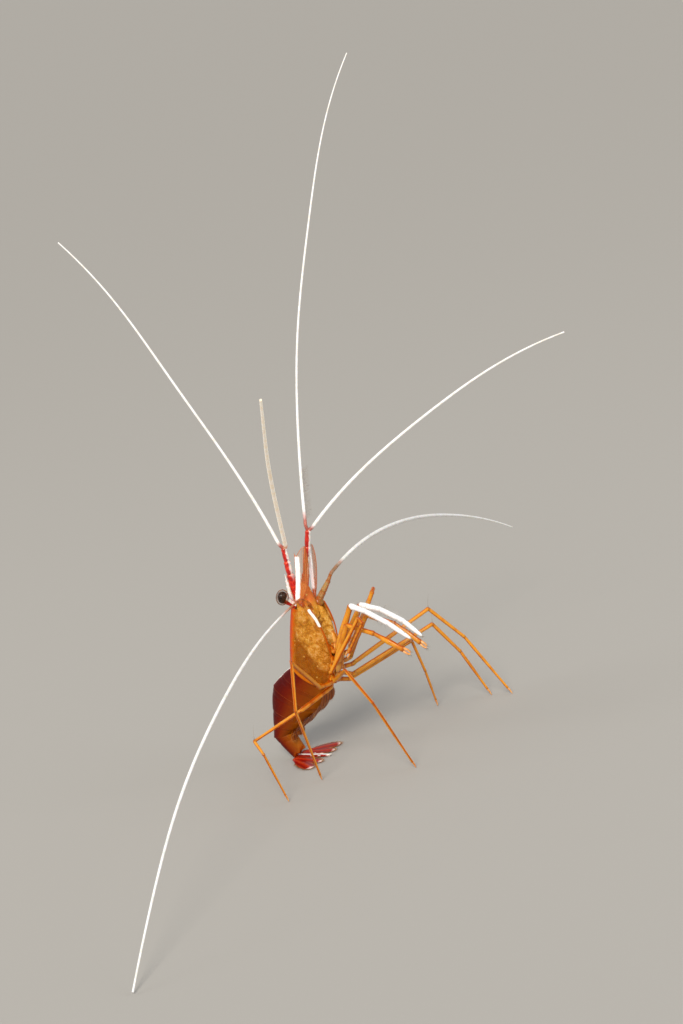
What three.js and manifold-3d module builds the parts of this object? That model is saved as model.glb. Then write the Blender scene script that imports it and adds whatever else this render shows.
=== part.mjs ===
// Cleaner shrimp, life size, as a still model: head up, belly towards +X, tail laid on the floor.
// Millimetres, +Z up, floor at z = 0. -Y is the animal's right side, +Y its left.
//
// Two frames are used. Legs and feelers are set by headings (degrees from +X towards +Y) and lifts
// (degrees above the horizontal). The head and carapace are set in the body frame: u runs forward
// along the body, v runs from the back towards the belly and y to the left.

import * as THREE from 'three';
import { mergeVertices } from 'three/addons/utils/BufferGeometryUtils.js';
import Module from 'manifold-3d';

const wasm = await Module();
wasm.setup();

// ---------------------------------------------------------------- driving dimensions

const BODY_LEAN = 13.7;                      // lean of the body axis towards the belly, degrees
const BODY_ORIGIN = [1.83, 0, 20];           // where the body axis leaves the carapace's rear
const GAP = 0.2;                             // clearance between neighbouring shell pieces

const CARAPACE_HALF_WIDTH = 3.5;
const CARAPACE_BACK = 4.95;                  // from the body axis to the back
const CARAPACE_BELLY = 5.3;                  // from the body axis to the sternum
const ROSTRUM_THICK = 0.8;
const ROSTRUM_TEETH = 5;

const EYE_RADIUS = 1.42;
const STALK_RADIUS = 0.72;

const SCALE_LENGTH = 9.6;                    // antennal scale
const SCALE_WIDTH = 2.75;
const BLADE_THICK = 0.5;                     // scales, tail fan and swimmerets

const FEELER_BASE = 0.36;                    // radius of a feeler where it starts
const FEELER_TIP = 0.26;
const FEELER_STEPS = 24;

const FAN_LENGTH = 7.6;                      // tail fan blades

// ---------------------------------------------------------------- colours of the sub-parts

const AMBER = 0xc8781a;
const SCARLET = 0xb01808;
const WHITE = 0xf4f1ea;
const BLACK = 0x120c08;
const DARK_RED = 0x6a1206;

// ---------------------------------------------------------------- frames and small helpers

const rad = THREE.MathUtils.degToRad;
const vec = (x, y, z) => new THREE.Vector3(x, y, z);

const bodyFrame = new THREE.Matrix4()
  .makeTranslation(...BODY_ORIGIN)
  .multiply(new THREE.Matrix4().makeRotationY(rad(BODY_LEAN)));

// A point given in the body frame, in the model's frame.
const onBody = (u, v, y) => vec(v, y, u).applyMatrix4(bodyFrame);

// Unit vector along a heading and a lift.
function towards(heading, lift) {
  const flat = Math.cos(rad(lift));
  return vec(flat * Math.cos(rad(heading)), flat * Math.sin(rad(heading)), Math.sin(rad(lift)));
}

const animal = new THREE.Group();

function addPart(name, geometry, color, roughness = 0.4) {
  const mesh = new THREE.Mesh(geometry, new THREE.MeshStandardMaterial({ color, roughness, metalness: 0 }));
  mesh.name = name;
  animal.add(mesh);
}

// A closed geometry as a manifold solid, and back.
function solid(geometry) {
  const bare = new THREE.BufferGeometry();
  bare.setAttribute('position', geometry.getAttribute('position').clone());
  if (geometry.index) {
    bare.setIndex(geometry.index.clone());
  }
  const merged = mergeVertices(bare, 1e-4);
  return new wasm.Manifold(new wasm.Mesh({
    numProp: 3,
    vertProperties: new Float32Array(merged.getAttribute('position').array),
    triVerts: new Uint32Array(merged.index.array),
  }));
}

function geometryOf(shape) {
  const mesh = shape.getMesh();
  const geometry = new THREE.BufferGeometry();
  geometry.setAttribute('position', new THREE.BufferAttribute(mesh.vertProperties, 3));
  geometry.setIndex(new THREE.BufferAttribute(mesh.triVerts, 1));
  return geometry;
}

// A closed cylinder whose rings are placed by a function of ring number, angle and radius (0 or 1).
// The angle runs so that the faces point outwards when (across, along, up) is right-handed.
function ringed(rings, around, place) {
  const geometry = new THREE.CylinderGeometry(1, 1, 1, around, rings - 1, false);
  const position = geometry.getAttribute('position');
  const point = vec(0, 0, 0);
  for (let i = 0; i < position.count; i++) {
    point.fromBufferAttribute(position, i);
    const ring = Math.round((point.y + 0.5) * (rings - 1));
    const placed = place(ring, Math.atan2(point.x, point.z), Math.hypot(point.x, point.z));
    position.setXYZ(i, placed.x, placed.y, placed.z);
  }
  return geometry;
}

// A round limb along a path of points, mitred at each bend. A foot ends in a flat on the floor.
function limb(path, radii, sides, foot = false) {
  const last = path.length - 1;
  const run = [];
  for (let i = 0; i < last; i++) {
    run.push(path[i + 1].clone().sub(path[i]).normalize());
  }
  const across = [];
  const side = vec(0, 0, 1).cross(run[0]).normalize();
  for (let i = 0; i <= last; i++) {
    if (i > 0 && i < last) {
      side.applyQuaternion(new THREE.Quaternion().setFromUnitVectors(run[i - 1], run[i]));
    }
    across.push(side.clone());
  }
  return ringed(last + 1, sides, (ring, angle, radius) => {
    const along = run[Math.min(ring, last - 1)];
    const before = run[Math.max(ring - 1, 0)];
    const up = across[ring].clone().cross(along);
    const offset = across[ring].clone().multiplyScalar(Math.sin(angle));
    offset.addScaledVector(up, Math.cos(angle)).multiplyScalar(radius * radii[ring]);
    const cut = foot && ring === last ? vec(0, 0, -1) : along.clone().add(before).normalize();
    offset.addScaledVector(along, -offset.dot(cut) / along.dot(cut));
    return offset.add(path[ring]);
  });
}

// The path of a jointed limb. Each segment is [length, heading, lift] and gets a point half way.
// With a floor level, the last segment is turned down until it ends there.
function jointed(root, segments, floor = null) {
  const path = [root.clone()];
  segments.forEach(([length, heading, lift], i) => {
    const start = path[path.length - 1];
    const down = i === segments.length - 1 && floor !== null;
    const slope = down ? THREE.MathUtils.radToDeg(Math.asin((floor - start.z) / length)) : lift;
    const step = towards(heading, slope);
    path.push(start.clone().addScaledVector(step, length / 2));
    path.push(start.clone().addScaledVector(step, length));
  });
  return path;
}

// A slender feeler whose heading and lift pass smoothly through the given pairs.
function feeler(root, length, turns) {
  const angles = new THREE.CatmullRomCurve3(turns.map(([heading, lift]) => vec(heading, lift, 0)), false,
    'catmullrom');
  const path = [root.clone()];
  const radii = [FEELER_BASE];
  for (let i = 0; i < FEELER_STEPS; i++) {
    const angle = angles.getPoint((i + 0.5) / FEELER_STEPS);
    path.push(path[i].clone().addScaledVector(towards(angle.x, angle.y), length / FEELER_STEPS));
    radii.push(THREE.MathUtils.lerp(FEELER_BASE, FEELER_TIP, (i + 1) / FEELER_STEPS));
  }
  return limb(path, radii, 6);
}

// A flat blade from a closed outline, extruded to the blade's thickness about its middle plane.
function blade(shape, thickness, curveSegments) {
  const geometry = new THREE.ExtrudeGeometry(shape, {
    depth: thickness, bevelEnabled: false, curveSegments,
  });
  geometry.translate(0, 0, -thickness / 2);
  return geometry;
}

// Matrix with the given axes as columns.
function basis(x, y, z, origin) {
  return new THREE.Matrix4().makeBasis(x, y, z).setPosition(origin);
}

// ---------------------------------------------------------------- carapace and rostrum

// The carapace is a rounded tube along the body, trimmed in side view by its own outline.
const CARAPACE_REAR = -4.6;
const CARAPACE_FRONT = 15.2;
const CARAPACE_RINGS = 13;
const CARAPACE_AROUND = 28;

function carapaceTube() {
  return ringed(CARAPACE_RINGS, CARAPACE_AROUND, (ring, angle, radius) => {
    const t = ring / (CARAPACE_RINGS - 1);
    const u = THREE.MathUtils.lerp(CARAPACE_REAR, CARAPACE_FRONT, t);
    const swell = 1 - 0.30 * Math.pow(Math.max(0, t - 0.45) / 0.55, 1.6) - 0.08 * Math.pow(1 - t, 3);
    const sink = 0.2 * Math.pow(Math.max(0, t - 0.5) / 0.5, 2);
    const back = CARAPACE_BACK * (1 - 0.5 * sink);
    const belly = CARAPACE_BELLY * (1 - 1.6 * sink);
    const round = Math.sign(Math.sin(angle)) * Math.pow(Math.abs(Math.sin(angle)), 0.85);
    const y = CARAPACE_HALF_WIDTH * swell * round;
    const v = Math.cos(angle) > 0 ? belly * Math.cos(angle) : back * Math.cos(angle);
    return vec(v * radius, y * radius, u);
  });
}

function carapaceOutline() {
  const outline = new THREE.Shape();
  outline.moveTo(-CARAPACE_BACK - 1, 0.2);
  outline.lineTo(-4.6, 0.2);
  outline.splineThru([[-4.0, -0.4], [-1.44, -1.7], [0.64, -2.5], [2.2, -2.95], [3.7, -2.8], [4.5, -2.0],
    [5.0, -0.2], [5.15, 2.6], [4.7, 5.6], [3.8, 8.6], [2.6, 11.0], [1.3, 13.0]].map(([v, u]) =>
    new THREE.Vector2(v, u)));
  outline.lineTo(0.2, 13.7);
  outline.lineTo(-0.7, 13.9);
  outline.lineTo(-1.3, 12.9);
  outline.lineTo(-2.6, 12.5);
  outline.lineTo(-3.4, 12.8);
  outline.lineTo(-CARAPACE_BACK - 1, 12.8);
  outline.closePath();
  return outline;
}

// The rostrum: a thin upright crest that rises from the back, with teeth along its upper edge.
function rostrumOutline() {
  const outline = new THREE.Shape();
  const [rootV, rootU, tipV, tipU] = [-4.5, 9.2, -6.4, 18.5];
  outline.moveTo(-3.2, 9.2);
  outline.lineTo(rootV, rootU);
  for (let i = 0; i < ROSTRUM_TEETH; i++) {
    const t = (i + 1) / (ROSTRUM_TEETH + 1);
    const v = THREE.MathUtils.lerp(rootV, tipV, t);
    const u = THREE.MathUtils.lerp(rootU, tipU, t);
    outline.lineTo(v - 0.42, u);
    outline.lineTo(v - 0.12, u + 0.15);
  }
  outline.lineTo(tipV, tipU);
  outline.lineTo(-5.3, 15.8);
  outline.lineTo(-4.4, 13.6);
  outline.lineTo(-3.2, 12.5);
  outline.closePath();
  return outline;
}

// Shapes drawn as (v, u) and extruded along y: the extrusion runs from the right to the left.
function sideProfile(shape, thickness, curveSegments) {
  const geometry = blade(shape, thickness, curveSegments);
  const swap = basis(vec(1, 0, 0), vec(0, 0, 1), vec(0, -1, 0), vec(0, 0, 0));
  return geometry.applyMatrix4(swap);
}

{
  const trim = solid(sideProfile(carapaceOutline(), 4 * CARAPACE_HALF_WIDTH, 20));
  const crest = solid(sideProfile(rostrumOutline(), ROSTRUM_THICK, 1));
  const shell = solid(carapaceTube()).intersect(trim).add(crest);
  addPart('carapace', geometryOf(shell).applyMatrix4(bodyFrame), AMBER);
}

// The sternum: the keel between the legs, just below the carapace's lower margin.
{
  const RINGS = 7;
  const REAR = -2.2;
  const FRONT = 8.4;
  const keel = ringed(RINGS, 10, (ring, angle, radius) => {
    const t = ring / (RINGS - 1);
    const top = 4.95 + 2.58 * t - 3.31 * t * t;
    const deep = 0.35 + 0.75 * Math.sin(Math.PI * t);
    const wide = 0.35 + 0.55 * Math.sin(Math.PI * t);
    const v = top + deep * (1 + Math.cos(angle) * radius) / 2;
    return vec(v, wide * Math.sin(angle) * radius, THREE.MathUtils.lerp(REAR, FRONT, t));
  });
  addPart('sternum', keel.applyMatrix4(bodyFrame), AMBER);
}

// ---------------------------------------------------------------- eyes on their stalks

// Eyes are flatter from back to belly and longer forward.
const EYE_STRETCH = new THREE.Vector3(0.84, 0.95, 1.1);

// Root and centre are given as (v, y, u). The eye is turned onto its axis, then stretched.
function eye(root, centre) {
  const offset = centre.clone().sub(root).divide(EYE_STRETCH);
  const reach = offset.length();
  const profile = [
    [0, 0],
    [STALK_RADIUS * 0.8, 0],
    [STALK_RADIUS, reach * 0.25],
    [STALK_RADIUS * 1.25, reach * 0.5],
  ];
  for (let angle = -50; angle < 90; angle += 20) {
    profile.push([EYE_RADIUS * Math.cos(rad(angle)), reach + EYE_RADIUS * Math.sin(rad(angle))]);
  }
  profile.push([0, reach + EYE_RADIUS]);
  const geometry = new THREE.LatheGeometry(profile.map(([r, h]) => new THREE.Vector2(r, h)), 14);
  geometry.applyQuaternion(new THREE.Quaternion().setFromUnitVectors(vec(0, 1, 0), offset.normalize()));
  geometry.scale(EYE_STRETCH.x, EYE_STRETCH.y, EYE_STRETCH.z);
  return geometry.translate(root.x, root.y, root.z).applyMatrix4(bodyFrame);
}

// The right eye looks out to the side, and the left one is drawn in towards the rostrum.
addPart('eye_right', eye(vec(-3.3, -1.9, 13.15), vec(-4.9, -3.75, 15.5)), BLACK, 0.15);
addPart('eye_left', eye(vec(-3.5, 1.2, 13.3), vec(-5.2, 2.6, 15.6)), BLACK, 0.15);

// ---------------------------------------------------------------- antennules: stems and two feelers each

// Three stem segments, each a little thicker at its far end. The stem bends at one ring.
const STEM_RADII = [0.6, 0.85, 0.8, 0.66, 0.78, 0.74, 0.6, 0.7, 0.62];

function antennuleStem(root, joint, end, bend) {
  const last = STEM_RADII.length - 1;
  const path = STEM_RADII.map((_, i) => (i < bend
    ? root.clone().lerp(joint, i / bend)
    : joint.clone().lerp(end, (i - bend) / (last - bend))));
  return limb(path, STEM_RADII, 10);
}

addPart('antennule_stem_right',
  antennuleStem(onBody(13.1, -2.6, -1.0), onBody(19.2, -4.5, -1.2), onBody(24.5, -5.85, -1.3), 4), SCARLET);
addPart('antennule_stem_left',
  antennuleStem(onBody(13.1, -2.6, 0.95), onBody(24.9, -1.75, 0.95), onBody(28.25, -1.75, 1.15), 6), SCARLET);

const FEELERS = {
  antennule_outer_right: [onBody(24.9, -6.45, -1.6), 75.1, [[166, 67], [180, 63], [174, 60], [187, 50]]],
  antennule_inner_right: [onBody(24.75, -5.55, -1.0), 66.5, [[-57, 46], [-56, 40], [-54, 34], [-53, 38]]],
  antennule_outer_left: [onBody(28.75, -2.0, 0.8), 97.4,
    [[109, 64], [94, 67], [79, 63], [76, 60], [66, 48]]],
  antennule_inner_left: [onBody(28.6, -1.25, 1.5), 64.9, [[60, 35], [43, 27], [43, 20], [41, 6]]],
  antenna_feeler_left: [onBody(18.8, 1.85, 3.75), 83.5, [[89, 13], [92, -5], [94, -15], [88, -22], [84, -31]]],
  antenna_feeler_right: [onBody(16.2, -0.35, -4.3), 102.6,
    [[-89, -2], [-81, -8], [-86, -23], [-81, -31], [-82, -39]]],
};

for (const [name, [root, length, turns]] of Object.entries(FEELERS)) {
  addPart(name, feeler(root, length, turns), WHITE);
}

// ---------------------------------------------------------------- antennae: stems and scales

function antennaStem(root, knee, end) {
  const path = [root, root.clone().lerp(knee, 0.5), knee, knee.clone().lerp(end, 0.5), end];
  return limb(path, [0.8, 0.85, 0.74, 0.62, 0.46], 10);
}

addPart('antenna_stem_left',
  antennaStem(onBody(14.2, 0.7, 2.0), onBody(16.1, 1.05, 3.0), onBody(18.55, 1.8, 3.7)), AMBER);
addPart('antenna_stem_right',
  antennaStem(onBody(14.2, 1.1, -1.85), onBody(15.2, 0.8, -3.0), onBody(16.05, 0.0, -4.0)), AMBER);

// The scale is a blade with a straight outer margin, a spine at its corner and a rounded inner lobe.
function scaleOutline(lobe) {
  const outline = new THREE.Shape();
  outline.moveTo(0, 0);
  outline.lineTo(0, SCALE_LENGTH);
  outline.lineTo(0.45, SCALE_LENGTH);
  outline.quadraticCurveTo(1.1, SCALE_LENGTH + lobe + 0.6, 2.1, SCALE_LENGTH + lobe);
  outline.quadraticCurveTo(SCALE_WIDTH + 0.2, SCALE_LENGTH - 1.2, SCALE_WIDTH, SCALE_LENGTH * 0.6);
  outline.quadraticCurveTo(SCALE_WIDTH * 0.85, SCALE_LENGTH * 0.2, 1.3, 0);
  outline.closePath();
  return outline;
}

function antennalScale(side, tip, lobe) {
  const base = onBody(14.7, -1.25, side * 3.8);
  const along = tip.clone().sub(base).normalize();
  const inwards = onBody(14.7, 1.05, side * 1.5).sub(base);
  const across = inwards.addScaledVector(along, -inwards.dot(along)).normalize();
  const face = across.clone().cross(along).normalize();
  const geometry = blade(scaleOutline(lobe), BLADE_THICK, 5);
  return geometry.applyMatrix4(basis(across, along, face, base));
}

addPart('antennal_scale_right', antennalScale(-1, onBody(24.5, -2.3, -3.0), 1.9), AMBER);
addPart('antennal_scale_left', antennalScale(1, onBody(24.2, -2.65, 3.4), 0.7), AMBER);

// ---------------------------------------------------------------- third maxillipeds

const MAXILLIPED_RADII = [0.5, 0.62, 0.6, 0.52, 0.5, 0.48, 0.46, 0.44, 0.4, 0.3, 0.25];

addPart('maxilliped_right', limb(jointed(onBody(4.8, 5.5, -1.6), [
  [1.2, -4, 30],
  [10.6, -6, 59],
  [3.3, 0, -21],
  [5.2, 1, -31],
  [5.5, 1, -38],
]), MAXILLIPED_RADII, 8), WHITE);

addPart('maxilliped_left', limb(jointed(onBody(4.8, 5.5, 1.6), [
  [1.2, 6, 30],
  [9.0, 8, 57],
  [4.4, 0, -14],
  [5.3, -2, -28],
  [4.9, -4, -41],
]), MAXILLIPED_RADII, 8), WHITE);

// ---------------------------------------------------------------- first and second legs, with pincers

// A pincer: palm and two fingers that part at the tip.
function pincer(wrist, heading, lift, palm, finger, radius) {
  const along = towards(heading, lift);
  const knuckle = wrist.clone().addScaledVector(along, palm);
  const body = limb([wrist, wrist.clone().lerp(knuckle, 0.5), knuckle,
    knuckle.clone().addScaledVector(along, 0.25)],
  [radius * 0.75, radius * 1.1, radius, radius * 0.7], 8);
  let claw = solid(body);
  for (const sign of [-1, 1]) {
    const spread = towards(heading, lift + 90).multiplyScalar(sign);
    const start = knuckle.clone().addScaledVector(spread, radius * 0.5).addScaledVector(along, -0.2);
    const tip = knuckle.clone().addScaledVector(along, finger).addScaledVector(spread, radius * 0.62);
    claw = claw.add(solid(limb([start, tip], [radius * 0.46, 0.25], 6)));
  }
  return claw;
}

function pincerLeg(root, segments, radii, claw) {
  const path = jointed(root, segments);
  const wrist = path[path.length - 1];
  const [heading, lift] = segments[segments.length - 1].slice(1);
  const arm = solid(limb(path, radii, 8));
  return geometryOf(arm.add(pincer(wrist.clone().addScaledVector(towards(heading, lift), -0.15),
    claw.heading, claw.lift, claw.palm, claw.finger, claw.radius)));
}

const ARM_RADII = [0.45, 0.58, 0.6, 0.58, 0.52, 0.48, 0.5];

addPart('leg1_right', pincerLeg(onBody(3.0, 5.8, -2.35), [
  [1.0, -20, 10],
  [9.1, -9, 59],
  [5.9, 3, -20],
], ARM_RADII, { heading: 0, lift: -31, palm: 5.5, finger: 3.0, radius: 0.66 }), AMBER);

addPart('leg1_left', pincerLeg(onBody(3.0, 5.8, 2.3), [
  [1.4, 30, 15],
  [9.0, 0, 54],
  [6.4, 2, -20],
], ARM_RADII, { heading: -4, lift: -38, palm: 5.2, finger: 2.8, radius: 0.66 }), AMBER);

// The second leg is long and slender. Its wrist segment folds back beside the upper arm.
const FOLD_RADII = [0.42, 0.5, 0.52, 0.5, 0.44, 0.42, 0.42, 0.4, 0.36];

addPart('leg2_right', pincerLeg(onBody(1.3, 5.8, -2.8), [
  [1.8, -70, 5],
  [14.7, -3, 51],
  [1.3, 0, -60],
  [6.0, 180, -53],
], FOLD_RADII, { heading: 180, lift: -53, palm: 1.3, finger: 1.4, radius: 0.5 }), AMBER);

addPart('leg2_left', pincerLeg(onBody(1.3, 5.8, 2.7), [
  [1.4, 70, 5],
  [15.2, 10, 60],
  [1.5, 110, 4],
  [11.4, -171, -57],
], FOLD_RADII, { heading: -171, lift: -57, palm: 1.5, finger: 1.5, radius: 0.5 }), AMBER);

// ---------------------------------------------------------------- walking legs, standing on the floor

const WALKING_RADII = [0.5, 0.58, 0.56, 0.52, 0.46, 0.42, 0.4, 0.36, 0.3];

const WALKING_LEGS = {
  leg3_right: [onBody(0, 5.75, -2.5), [[3.1, -53, -2], [13.3, -46, 25], [8.4, 18, -62], [18.2, 73, 0]]],
  leg3_left: [onBody(0, 5.75, 2.5), [[2.1, 74, -10], [21.1, 64, 12], [10.5, 50, -52], [16.1, 31, 0]]],
  leg4_right: [onBody(-1.5, 5.6, -2.6), [[4.3, -95, 10], [15.0, -78, 40], [9.5, -99, -78], [20.4, 111, 0]]],
  leg4_left: [onBody(-1.5, 5.6, 2.6), [[2.5, 74, -28], [21.4, 64, 8], [9.4, 59, -57], [12.0, 42, 0]]],
  leg5_right: [onBody(-3.0, 4.95, -2.4), [[8.5, -103, -7], [12.5, -115, -9], [5.0, -40, -18], [11.8, 72, 0]]],
  leg5_left: [onBody(-3.0, 4.95, 2.4), [[2.4, 70, -21], [17.1, 67, 6], [8.1, 87, -72], [9.6, 101, 0]]],
};

for (const [name, [root, segments]] of Object.entries(WALKING_LEGS)) {
  addPart(name, limb(jointed(root, segments, 0), WALKING_RADII, 8, true), AMBER);
}

// ---------------------------------------------------------------- abdomen: six ring segments

// Each joint of the abdomen is a line in the mid plane: x and z at the back, x and z at the belly.
const ABDOMEN = [
  { back: [-2.35, 20.1], belly: [4.2, 15.5], half: 3.3 },
  { back: [-4.9, 18.6], belly: [3.7, 13.6], half: 3.35 },
  { back: [-7.8, 16.3], belly: [1.5, 10.8], half: 3.3 },
  { back: [-9.2, 11.6], belly: [-2.6, 8.4], half: 2.85 },
  { back: [-10.0, 8.0], belly: [-4.6, 6.7], half: 2.45 },
  { back: [-10.7, 4.9], belly: [-6.5, 5.6], half: 2.15 },
  { back: [-7.6, 0.85], belly: [-6.0, 3.4], half: 1.7 },
];
const SOMITE_RINGS = 5;
const SOMITE_AROUND = 18;
const BULGE = [0.2, 0.25, 0.45, 0.25, 0.2, 0.35];   // how far each ring bows out at the back

function somite(index) {
  const front = ABDOMEN[index];
  const rear = ABDOMEN[index + 1];
  const backRun = vec(rear.back[0] - front.back[0], 0, rear.back[1] - front.back[1]);
  const bellyRun = vec(rear.belly[0] - front.belly[0], 0, rear.belly[1] - front.belly[1]);
  const outwards = vec(backRun.z, 0, -backRun.x).normalize();
  return ringed(SOMITE_RINGS, SOMITE_AROUND, (ring, angle, radius) => {
    const s = ring / (SOMITE_RINGS - 1);
    const tBack = (GAP / 2 + s * (backRun.length() - GAP)) / backRun.length();
    const tBelly = (GAP / 2 + s * (bellyRun.length() - GAP)) / bellyRun.length();
    const back = vec(front.back[0], 0, front.back[1]).addScaledVector(backRun, tBack);
    back.addScaledVector(outwards, BULGE[index] * Math.sin(Math.PI * (0.15 + 0.75 * s)));
    const belly = vec(front.belly[0], 0, front.belly[1]).addScaledVector(bellyRun, tBelly);
    const half = THREE.MathUtils.lerp(front.half, rear.half, s);
    const height = back.clone().sub(belly);
    const c = Math.cos(angle) * radius;
    const narrow = 1 - 0.34 * Math.pow(Math.max(0, -c), 1.5);
    const sine = Math.sin(angle) * radius;
    const y = half * narrow * Math.sign(sine) * Math.pow(Math.abs(sine), 0.8);
    const reach = 0.5 + 0.5 * (c < 0 ? -Math.pow(-c, 0.8) : c);
    return belly.clone().addScaledVector(height, reach).add(vec(0, y, 0));
  });
}

for (let i = 0; i < ABDOMEN.length - 1; i++) {
  addPart(`abdomen_ring_${i + 1}`, somite(i), DARK_RED);
}

// ---------------------------------------------------------------- swimmerets: a pair under each ring 1-5

function swimmeretOutline(length) {
  const outline = new THREE.Shape();
  outline.moveTo(-0.35, 0);
  outline.quadraticCurveTo(-0.95, length * 0.55, 0, length);
  outline.quadraticCurveTo(0.95, length * 0.55, 0.35, 0);
  outline.closePath();
  return outline;
}

const SWIMMERET_LENGTH = [3.0, 3.2, 3.4, 2.4, 1.9];
const SWIMMERET_TURN = 14;                         // from the belly line out, towards the tail

for (let i = 0; i < SWIMMERET_LENGTH.length; i++) {
  const front = ABDOMEN[i].belly;
  const rear = ABDOMEN[i + 1].belly;
  const beyond = ABDOMEN[i + 2].belly;
  const run = vec(beyond[0] - front[0], 0, beyond[1] - front[1]).normalize();
  const out = vec(-run.z, 0, run.x);
  const along = run.clone().multiplyScalar(Math.cos(rad(SWIMMERET_TURN)));
  along.addScaledVector(out, Math.sin(rad(SWIMMERET_TURN)));
  for (const [label, side] of [['right', -1], ['left', 1]]) {
    const root = vec((front[0] + rear[0]) / 2, side * 1.15, (front[1] + rear[1]) / 2);
    root.addScaledVector(out, GAP + BLADE_THICK / 2);
    const across = vec(0, 1, 0);
    const face = across.clone().cross(along);
    const geometry = blade(swimmeretOutline(SWIMMERET_LENGTH[i]), BLADE_THICK, 4);
    geometry.applyMatrix4(basis(across, along, face, root));
    addPart(`swimmeret_${i + 1}_${label}`, geometry, AMBER);
  }
}

// ---------------------------------------------------------------- tail fan, laid flat on the floor

const FAN_ROOT = [-6.9, 0];                        // x of the fan's root, and the floor
const TELSON_HALF = 1.25;

{
  const outline = new THREE.Shape();
  outline.moveTo(0, -TELSON_HALF);
  outline.lineTo(FAN_LENGTH * 0.55, -TELSON_HALF * 0.72);
  outline.lineTo(FAN_LENGTH, -0.35);
  outline.quadraticCurveTo(FAN_LENGTH + 0.35, 0, FAN_LENGTH, 0.35);
  outline.lineTo(FAN_LENGTH * 0.55, TELSON_HALF * 0.72);
  outline.lineTo(0, TELSON_HALF);
  outline.closePath();
  const telson = blade(outline, 0.6, 3);
  addPart('telson', telson.translate(FAN_ROOT[0], 0, 0.3), SCARLET);
}

// A tail blade: narrow at the hinge, widest past the middle, with a rounded end.
function tailBlade(length, width) {
  const outline = new THREE.Shape();
  outline.moveTo(0, -0.35);
  outline.quadraticCurveTo(length * 0.45, -width * 0.62, length * 0.8, -width / 2);
  outline.quadraticCurveTo(length + 0.6, 0, length * 0.8, width / 2);
  outline.quadraticCurveTo(length * 0.45, width * 0.62, 0, 0.35);
  outline.closePath();
  return blade(outline, BLADE_THICK, 5);
}

for (const [label, side] of [['right', -1], ['left', 1]]) {
  const hinge = vec(FAN_ROOT[0] + 0.1, side * 1.95, BLADE_THICK / 2);
  for (const [kind, turn, length, width, shift] of [['inner', 8, 7.2, 1.8, 0], ['outer', 31, 7.8, 2.2, 0.85]]) {
    const geometry = tailBlade(length, width);
    geometry.rotateZ(rad(side * turn));
    geometry.translate(hinge.x, hinge.y + side * shift, hinge.z);
    addPart(`tail_blade_${kind}_${label}`, geometry, DARK_RED);
  }
}

// ---------------------------------------------------------------- origin under the middle of the model

const bounds = new THREE.Box3().setFromObject(animal);
const middle = bounds.getCenter(vec(0, 0, 0));
animal.position.set(-middle.x, -middle.y, -bounds.min.z);

export default animal;
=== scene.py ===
# Cleaner shrimp, life size, as a museum's still model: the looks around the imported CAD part.
# Sizes are millimetres in the CAD's own drawing frame until a piece is finished, then metres.

import math

import bmesh
import bpy
import numpy as np
from mathutils import Matrix, Vector


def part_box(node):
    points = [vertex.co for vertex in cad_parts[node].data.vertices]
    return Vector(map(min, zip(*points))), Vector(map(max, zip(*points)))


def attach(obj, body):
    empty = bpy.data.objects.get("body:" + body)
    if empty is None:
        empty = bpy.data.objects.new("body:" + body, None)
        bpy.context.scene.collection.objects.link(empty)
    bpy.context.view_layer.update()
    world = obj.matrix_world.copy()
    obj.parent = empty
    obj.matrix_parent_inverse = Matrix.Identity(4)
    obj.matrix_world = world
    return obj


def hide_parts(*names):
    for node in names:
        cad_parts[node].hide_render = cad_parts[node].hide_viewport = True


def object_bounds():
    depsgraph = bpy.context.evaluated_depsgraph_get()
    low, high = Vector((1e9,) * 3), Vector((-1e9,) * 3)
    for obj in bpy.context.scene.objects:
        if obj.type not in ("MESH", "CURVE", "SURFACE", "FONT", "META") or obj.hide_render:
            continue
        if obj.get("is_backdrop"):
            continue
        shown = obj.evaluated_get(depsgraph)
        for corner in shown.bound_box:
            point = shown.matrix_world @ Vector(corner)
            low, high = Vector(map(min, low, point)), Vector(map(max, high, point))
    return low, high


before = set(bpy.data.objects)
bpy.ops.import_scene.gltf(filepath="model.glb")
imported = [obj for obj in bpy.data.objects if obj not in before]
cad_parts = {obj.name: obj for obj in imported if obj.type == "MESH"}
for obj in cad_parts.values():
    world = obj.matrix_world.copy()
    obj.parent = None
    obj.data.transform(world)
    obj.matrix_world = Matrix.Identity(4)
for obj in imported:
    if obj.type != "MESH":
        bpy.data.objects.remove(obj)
CAD_BOX = [list(corner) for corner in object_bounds()]


# ---------------------------------------------------------------- carapace
# The one-piece shield over head and thorax: thin clear chitin, stained red down the back and amber on
# the flanks, with a white dash behind the eye. It hangs free at its lower edge and is thickened there.

LEAN = math.radians(13.7)                      # lean of the body axis towards the belly
BODY_ORIGIN = np.array((1.83, 0.0, 20.0))      # where the body axis leaves the carapace's rear
TAIL_ROOT_X = -6.9                             # the tail fan's root, which places the drawing in the row

fan_low, fan_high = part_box("telson")
SHIFT = np.array((fan_low.x * 1000 - TAIL_ROOT_X, (fan_low.y + fan_high.y) * 500, 0.0))


def on_body(v, y, u):
    """Points from the body's own axes: v from back to belly, y to the left, u forward."""
    v, y, u = np.broadcast_arrays(np.asarray(v, float), y, u)
    x = u * math.sin(LEAN) + v * math.cos(LEAN)
    z = u * math.cos(LEAN) - v * math.sin(LEAN)
    return BODY_ORIGIN + np.stack([x, y, z], -1)


def shade(code):
    """An sRGB hex colour as linear red, green, blue and alpha."""
    parts = [int(code[i:i + 2], 16) / 255 for i in (1, 3, 5)]
    return tuple(p / 12.92 if p <= 0.04045 else ((p + 0.055) / 1.055) ** 2.4 for p in parts) + (1.0,)


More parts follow.
